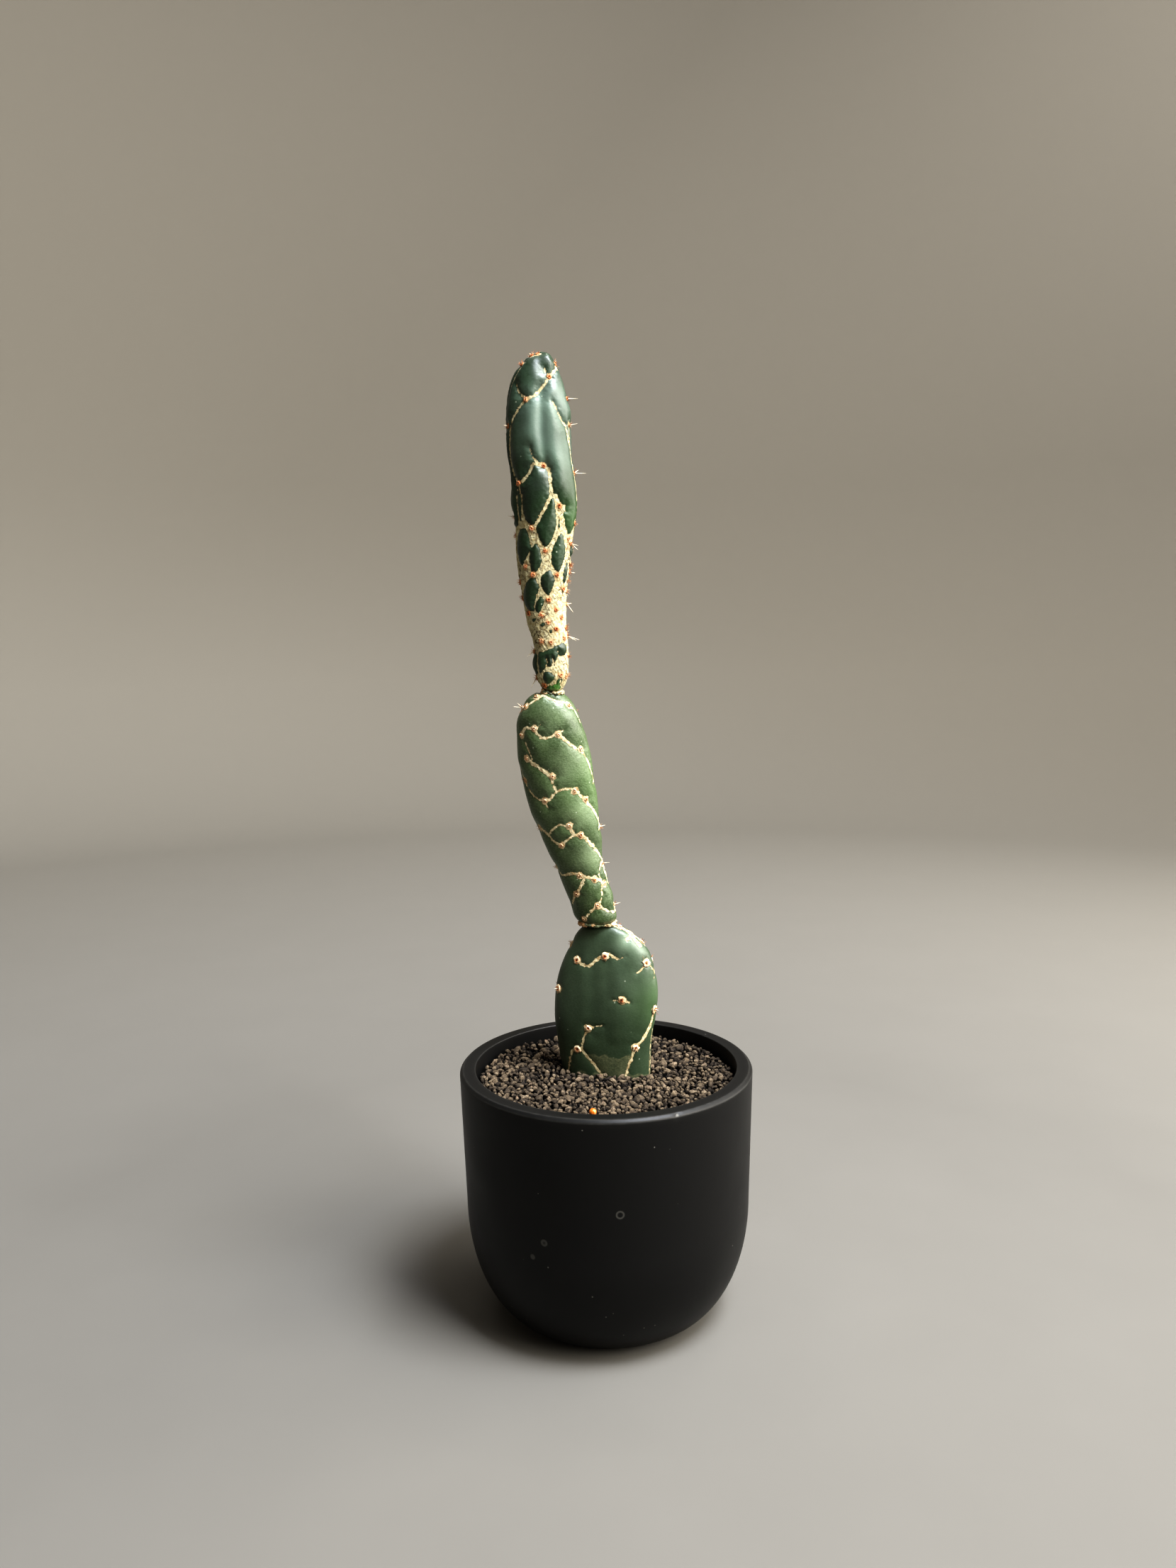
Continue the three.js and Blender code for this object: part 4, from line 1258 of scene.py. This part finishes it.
EDGE_SIDE, EDGE_BRISTLES = 60, 1.9  # past this side the bristles are this much longer
print(sum(len(spiny) for spiny in SPINES.values()), "areoles bear long spines")

# %% [markdown]
# An areole is put together where it sits: at its place on the skin, out along the skin's own
# direction, with one axis level and one running up the skin. Sizes, leans and shades are drawn at
# random from a fixed seed, because no two areoles are alike, and yet each run has to give the same.

# %% Putting an areole together
def skin_axes(name, height, side):
    """The place on a pad's skin, and the directions out of it, up it and level along it."""
    heights, sides, surface, out = pad_surfaces[name]
    row = np.argmin(np.abs(heights - height))
    column = np.argmin(np.abs((sides - side + 180) % 360 - 180))
    normal = out[row, column]
    upright = np.array([0, 0, 1]) - normal * normal[2]
    upright /= np.linalg.norm(upright)
    return surface[row, column], normal, upright, np.cross(upright, normal)


def areole(name, height, side, spines, random):
    """Points, faces and rust values of one areole's felt, bristles and spines."""
    foot, normal, upright, level = skin_axes(name, height, side)
    size = FELT_SIZE[name] * random.uniform(0.8, 1.15)
    rim_rust, heart_rust = np.array(WOOL_RUST[name]) + random.uniform(-0.12, 0.12)
    points, faces, heart = felt_mound(foot, normal, level, size, int(height * 10))
    yield points, faces, rim_rust + (heart_rust - rim_rust) * heart
    for _ in range(BRISTLES[name]):
        spot = random.normal(size=2) * 0.5 * size
        aside = level * spot[0] + upright * spot[1]
        bend = upright * random.uniform(-0.2, 0.3)
        length = random.uniform(0.3, 0.75) * (EDGE_BRISTLES if abs(side) > EDGE_SIDE else 1)
        points, faces = cone(foot + aside + normal * 0.15, normal + aside / size * 0.9, bend, length,
                             BRISTLE_RADIUS, BRISTLE_SIDES, BRISTLE_RINGS)
        yield points, faces, heart_rust - random.uniform(0, 0.8)
    for index, (length, rise) in enumerate(spines):
        rise = math.radians(rise)
        aim = normal * math.cos(rise) + upright * math.sin(rise) + level * 0.25 * index
        bend = upright * random.uniform(-0.12, 0.02)
        points, faces = cone(foot + normal * 0.1, aim, bend, length + 0.4,
                             SPINE_RADIUS, SPINE_SIDES, SPINE_RINGS)
        along = np.clip((points - foot) @ normal / length, 0, 1)
        yield points, faces, np.clip(0.5 - 2.2 * along, 0, 0.5)


print("at its front the basal pad faces", skin_axes("basal_pad", 115, 0)[1].round(2))

# %% Areoles of each pad
SPINY_REACH, SIDE_TO_MM = 1.5, 7  # an areole this near a spiny one is the same areole


def joined(parts):
    """The points, faces and values of many parts as those of one mesh."""
    points, faces, values = zip(*parts)
    starts = np.cumsum([0, *map(len, points)])
    faces = [[corner + start for corner in face] for start, some in zip(starts, faces) for face in some]
    values = [np.broadcast_to(value, len(some)) for value, some in zip(values, points)]
    return np.concatenate(points), faces, np.concatenate(values)


for name, marks in PAD_MARKS.items():
    random = np.random.default_rng(len(name))
    spiny = SPINES[name]
    plain = [(h, s) for h, s in marks["areoles"]
             if min(np.hypot(h - one[0], (s - one[1]) / SIDE_TO_MM) for one in spiny) > SPINY_REACH]
    parts = [part for height, side, *spines in [*spiny, *plain]
             for part in areole(name, height, side, spines, random)]
    points, faces, rust = joined(parts)
    nodes = sorted(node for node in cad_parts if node.startswith(name + "_spines"))
    make_piece(name + "_areoles", points, faces, wool_and_spines, "spines", nodes, rust=rust)

# %% [markdown]
# ## Gravel
#
# The top dressing is broken pumice and lava, mostly 2 to 4 mm, with small crumbs in between. A
# bumpy sheet would never give the deep dark gaps, so the layer is poured grain by grain. Each
# grain is a lump cut by random flat faces. It is dropped on a height map of what lies there
# already, at the lowest of a few random places, and it stays if its top is low enough. Grains
# that end up deep in the layer get fewer faces, because nobody sees them.

# %% Shapes of grains
GRAIN_SHAPES = 48
CUTS, NEAREST_CUT, FARTHEST_CUT = 12, 0.26, 0.5  # flat faces, and how far from the heart they lie
FLATTEST, LONGEST = 0.72, 1.28  # how much a grain may be squashed or stretched along an axis
BLUNT_CORNER, UNEVEN_FACE = 0.6, 0.12
PARTS = 4  # into which a triangle's edges are split, to fill the map's cells


def ball(level):
    """Directions and faces of a ball made of triangles."""
    mesh = bmesh.new()
    bmesh.ops.create_icosphere(mesh, subdivisions=level, radius=1)
    directions = np.array([point.co[:] for point in mesh.verts])
    faces = np.array([[point.index for point in face.verts] for face in mesh.faces])
    mesh.free()
    return directions, faces


def lump(directions, seed):
    """A broken stone about one unit across, as a point in each direction from its heart."""
    random = np.random.default_rng(seed)
    cuts = random.normal(size=(CUTS, 3))
    cuts /= np.linalg.norm(cuts, axis=1, keepdims=True)
    depths = random.uniform(NEAREST_CUT, FARTHEST_CUT, CUTS)
    stretch = random.uniform(FLATTEST, LONGEST, 3)
    reach = np.min(depths / np.clip(directions @ cuts.T, 0.3, None), 1)
    reach = np.minimum(reach, BLUNT_CORNER) * (1 + UNEVEN_FACE * uneven(directions, 0.8, seed))
    return directions * reach[:, None] * stretch


def spread_over(points, faces):
    """Points spread evenly over triangles."""
    a, b, c = (points[faces[:, corner]] for corner in range(3))
    shares = [(i / PARTS, j / PARTS) for i in range(PARTS + 1) for j in range(PARTS + 1 - i)]
    return np.concatenate([a + (b - a) * i + (c - a) * j for i, j in shares])


fine_ball, coarse_ball = ball(2), ball(1)
fine_lumps, coarse_lumps = (
    [lump(directions, seed) for seed in range(GRAIN_SHAPES)]
    for directions in (fine_ball[0], coarse_ball[0])
)
drawn_lumps = [spread_over(points, fine_ball[1]) for points in fine_lumps]
print(f"{GRAIN_SHAPES} shapes of grains")

# %% [markdown]
# The layer lies between the potting mix and a top that is slightly mounded, inside the pot's wall
# and round the plant's foot. All of that is written into two maps on a fine grid of cells: how
# high each cell is filled so far, and how high it may be filled.

# %% Room for the gravel
CELL = 0.3  # the height map's step, in mm
MIX_TOP = 75.3
GRAVEL_EDGE, GRAVEL_MOUND, MOUND_REACH = 84.2, 1.6, 13
PROUD = 1.2  # how far a grain may stand above the layer's mean top
SWELL_HEIGHT = 0.4
BACK_RISE, BACK_REACH = 1.2, 30  # the gravel lies this much higher, this far behind the middle
WALL_GAP = 0.6
TAKEN = 999.0
prill_low, prill_high = (np.array(corner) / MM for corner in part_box("fertiliser_prill"))
prill_heart, prill_radius = (prill_low + prill_high) / 2, (prill_high[2] - prill_low[2]) / 2

map_line = (np.arange(round(2 * RIM_INNER_RADIUS / CELL)) + 0.5) * CELL - RIM_INNER_RADIUS
map_x, map_y = np.meshgrid(map_line, map_line, indexing="ij")


def gravel_top(x, y):
    """The highest that the layer may reach at a place: a low mound at the plant, and slow swells."""
    mound = GRAVEL_MOUND * np.exp(-((np.hypot(x, y - PLANT_Y) / MOUND_REACH) ** 2))
    swells = SWELL_HEIGHT * np.sin(0.17 * x + 1) * np.cos(0.21 * y)
    return GRAVEL_EDGE + PROUD + mound + (swells + BACK_RISE * np.clip(y / BACK_REACH, 0, 1))


def in_plant(x, y):
    """Whether a place lies within the basal pad's section at the height of the gravel."""
    pad = PADS["basal_pad"]
    yaw, square = math.radians(pad["yaw"]), pad["squareness"]
    share = (GRAVEL_EDGE - pad["foot"]) / (pad["tip"] - pad["foot"])
    across = x * math.cos(yaw) + (y - PLANT_Y) * math.sin(yaw)
    front = x * math.sin(yaw) - (y - PLANT_Y) * math.cos(yaw)
    across, front = across / through(pad["half"], share), front / through(pad["thick"], share)
    return np.abs(across) ** square + np.abs(front) ** square < 1


limit = gravel_top(map_x, map_y)
limit[np.hypot(map_x - prill_heart[0], map_y - prill_heart[1]) < prill_radius] = prill_low[2]
floor_map = np.where(np.hypot(map_x, map_y) > RIM_INNER_RADIUS - WALL_GAP, TAKEN, MIX_TOP)
floor_map[in_plant(map_x, map_y)] = TAKEN
print(f"{(floor_map < TAKEN).sum() * CELL**2 / 100:.1f} square cm to cover")

# %% Pouring the grains
COMMON_SIZE, SIZE_SPREAD = 2.85, 0.38
SMALLEST, LARGEST = 1.2, 5.0
TRIES = 7
GIVE_UP_AFTER = 300


def drawn_grain(random):
    """The shape, size and turn of one more grain."""
    kind = random.integers(GRAIN_SHAPES)
    size = np.clip(random.lognormal(math.log(COMMON_SIZE), SIZE_SPREAD), SMALLEST, LARGEST)
    return kind, size, np.array(Matrix.Rotation(random.uniform(0, 2 * np.pi), 3, "Z"))


def footprint(kind, size, turn):
    """How low and how high a grain reaches over the cells below it, and its first cell."""
    body = drawn_lumps[kind] @ turn.T * size
    cells = np.floor(body[:, :2] / CELL).astype(int)
    corner = cells.min(0)
    cells = tuple((cells - corner).T)
    wide = np.max(cells, 1) + 1
    under, over = np.full(wide, TAKEN), np.full(wide, -TAKEN)
    np.minimum.at(under, cells, body[:, 2])
    np.maximum.at(over, cells, body[:, 2])
    return under, over, corner


def pour(filled, limit, random):
    """Grains as (shape, size, turn, place), poured until no more fit below the limit."""
    grains, misses = [], 0
    open_cells = np.argwhere(filled < TAKEN)
    while misses < GIVE_UP_AFTER:
        grain = drawn_grain(random)
        under, over, corner = footprint(*grain)
        wide = np.array(under.shape)
        drops = []
        for i, j in open_cells[random.integers(len(open_cells), size=TRIES)] - wide // 2:
            below = filled[i : i + wide[0], j : j + wide[1]]
            if i >= 0 and j >= 0 and below.shape == under.shape:
                drops.append((np.max((below - under)[under < TAKEN]), i, j))
        if not drops:
            continue
        rest, i, j = min(drops)
        window = (slice(i, i + wide[0]), slice(j, j + wide[1]))
        if np.any(over + rest > limit[window]):
            misses += 1
            continue
        misses = 0
        filled[window] = np.maximum(filled[window], over + rest)
        place = (np.array([i, j]) - corner) * CELL - RIM_INNER_RADIUS
        grains.append((*grain, np.array([*place, rest])))
    return grains


grains = pour(floor_map.copy(), limit, np.random.default_rng(4))
print(f"{len(grains)} grains poured")

# %% [markdown]
# Pumice and lava are full of tiny blisters, so the broken faces are dead matt and pitted. Every
# grain has a tone of its own, from burnt brown over taupe to a dusty beige, and some are pinkish.
# Between the grains shade is painted in, so the tone falls to near black there. Each grain's top is
# paler than its underside, partly from dust and partly from painted top light, and its pits get
# painted shade.

# %% Gravel material
def broken_pumice():
    """Pumice and lava, crushed: dead matt broken faces, pitted by blisters, with painted shade in the
    pits.
    """
    material, shader, add, place = start_material("pumice_and_lava_crushed", 1.5, 0.95)
    tone = add("Attribute", out="Fac", attribute_name="tone")
    own = add("ValToRGB", {"Fac": tone}, stops={
        0: "0c0a08", 0.2: "463d34", 0.4: "7f7262", 0.6: "aa9a83", 0.78: "c6b69f", 0.88: "b29682",
        1: "e6d8c3"})
    # Most blisters are finer than 0.1 mm and would not show, so they are drawn from 0.65 mm down.
    blister = add("TexNoise", {"Vector": place, "Scale": every(0.65), "Detail": 8, "Roughness": 0.8})
    # Painted shade: the low parts of the blister pattern, which the bump sinks, are darkened.
    pit_shade = add("MapRange", {"Value": blister, "From Min": 0.35, "From Max": 0.7, "To Max": 0.6})
    shade = add("ValToRGB", {"Fac": pit_shade}, stops={0: "5f564d", 0.6: "fffbf4"})
    colour = add("Mix", {0: 1.0, 6: own, 7: shade}, blend_type="MULTIPLY", **COLOURS)
    bump = add("Bump", {"Strength": 1.0, "Distance": 1.3 * MM, "Height": blister})
    connect(shader, {"Base Color": colour, "Normal": bump})
    return material


gravel_stone = broken_pumice()

# %% Gravel mesh
DEEP = 4.2  # grains this far below the top, in mm, get the coarse shape
# Painted shade: the tone falls with depth below the layer's top, as if in shade between the grains.
UNSHADED_ABOVE, FULL_SHADE_BELOW, FULL_SHADE_TONE = 0.8, 2.6, 0.05  # depths below the top, in mm, and the tone there
TOP_DUST_AND_LIGHT = 0.35  # how much paler a grain's top is than its flanks
DARKEST, TONE_RANGE = 0.15, 0.52
SHARP_ANGLE = 16  # broken edges stay crisp

random = np.random.default_rng(5)
grain_parts = []
for kind, size, turn, place in grains:
    seen = place[2] > GRAVEL_EDGE - DEEP
    body = (fine_lumps if seen else coarse_lumps)[kind] @ turn.T * size
    points = body + place
    # Paler on top and darker underneath: partly dust, partly painted top light and underside shade.
    dust = 1 + TOP_DUST_AND_LIGHT * body[:, 2] / np.linalg.norm(body, axis=1)
    depth = gravel_top(points[:, 0], points[:, 1]) - points[:, 2]
    # painted shade that deepens below the layer's top
    painted_gap_shade = np.interp(depth, [UNSHADED_ABOVE, FULL_SHADE_BELOW], [1, FULL_SHADE_TONE])
    own_tone = DARKEST + TONE_RANGE * random.beta(1.5, 1.5)
    grain_parts.append((points, (fine_ball if seen else coarse_ball)[1], painted_gap_shade * dust * own_tone))
points, faces, tones = joined(grain_parts)
gravel = make_piece(
    "pumice_gravel", points, faces, gravel_stone, "gravel", ["gravel_top_dressing"], tone=tones)
gravel.data.set_sharp_from_angle(angle=math.radians(SHARP_ANGLE))

# %% [markdown]
# ## Fertiliser prill
#
# One bead of slow-release fertiliser lies at the front. It is a grain of salts in a clear amber
# resin coat, so it is glossy and glows a little. A clear shell over a core would be truer, but
# on so small a bead a touch of subsurface light looks the same. A sprayed bead is never quite round.

# %% Prill
def resin_coated_prill():
    """Fertiliser salts in an amber resin coat, sprayed on: glossy, and lit a little from within."""
    material, shader, add, place = start_material("amber_resin_sprayed_on", 1.52, 0.25)
    connect(shader, {"Subsurface Weight": 0.4, "Subsurface Radius": (0.0012, 0.0005, 0.0002)})
    cloud = add("TexNoise", {"Vector": place, "Scale": every(1.1), "Detail": 3})
    colour = add("ValToRGB", {"Fac": cloud}, stops={0.3: "a8500f", 0.5: "c97324", 0.7: "dfa063"})
    bump = add("Bump", {"Strength": 0.3, "Distance": 0.1 * MM, "Height": cloud})
    connect(shader, {"Base Color": colour, "Normal": bump})
    return material


bead_directions, bead_faces = ball(4)
bead_reach = prill_radius * (0.97 + 0.03 * uneven(bead_directions, 2.2, 9))
make_piece("fertiliser_bead", prill_heart + bead_directions * bead_reach[:, None], bead_faces,
           resin_coated_prill(), "prill_coating", ["fertiliser_prill"])
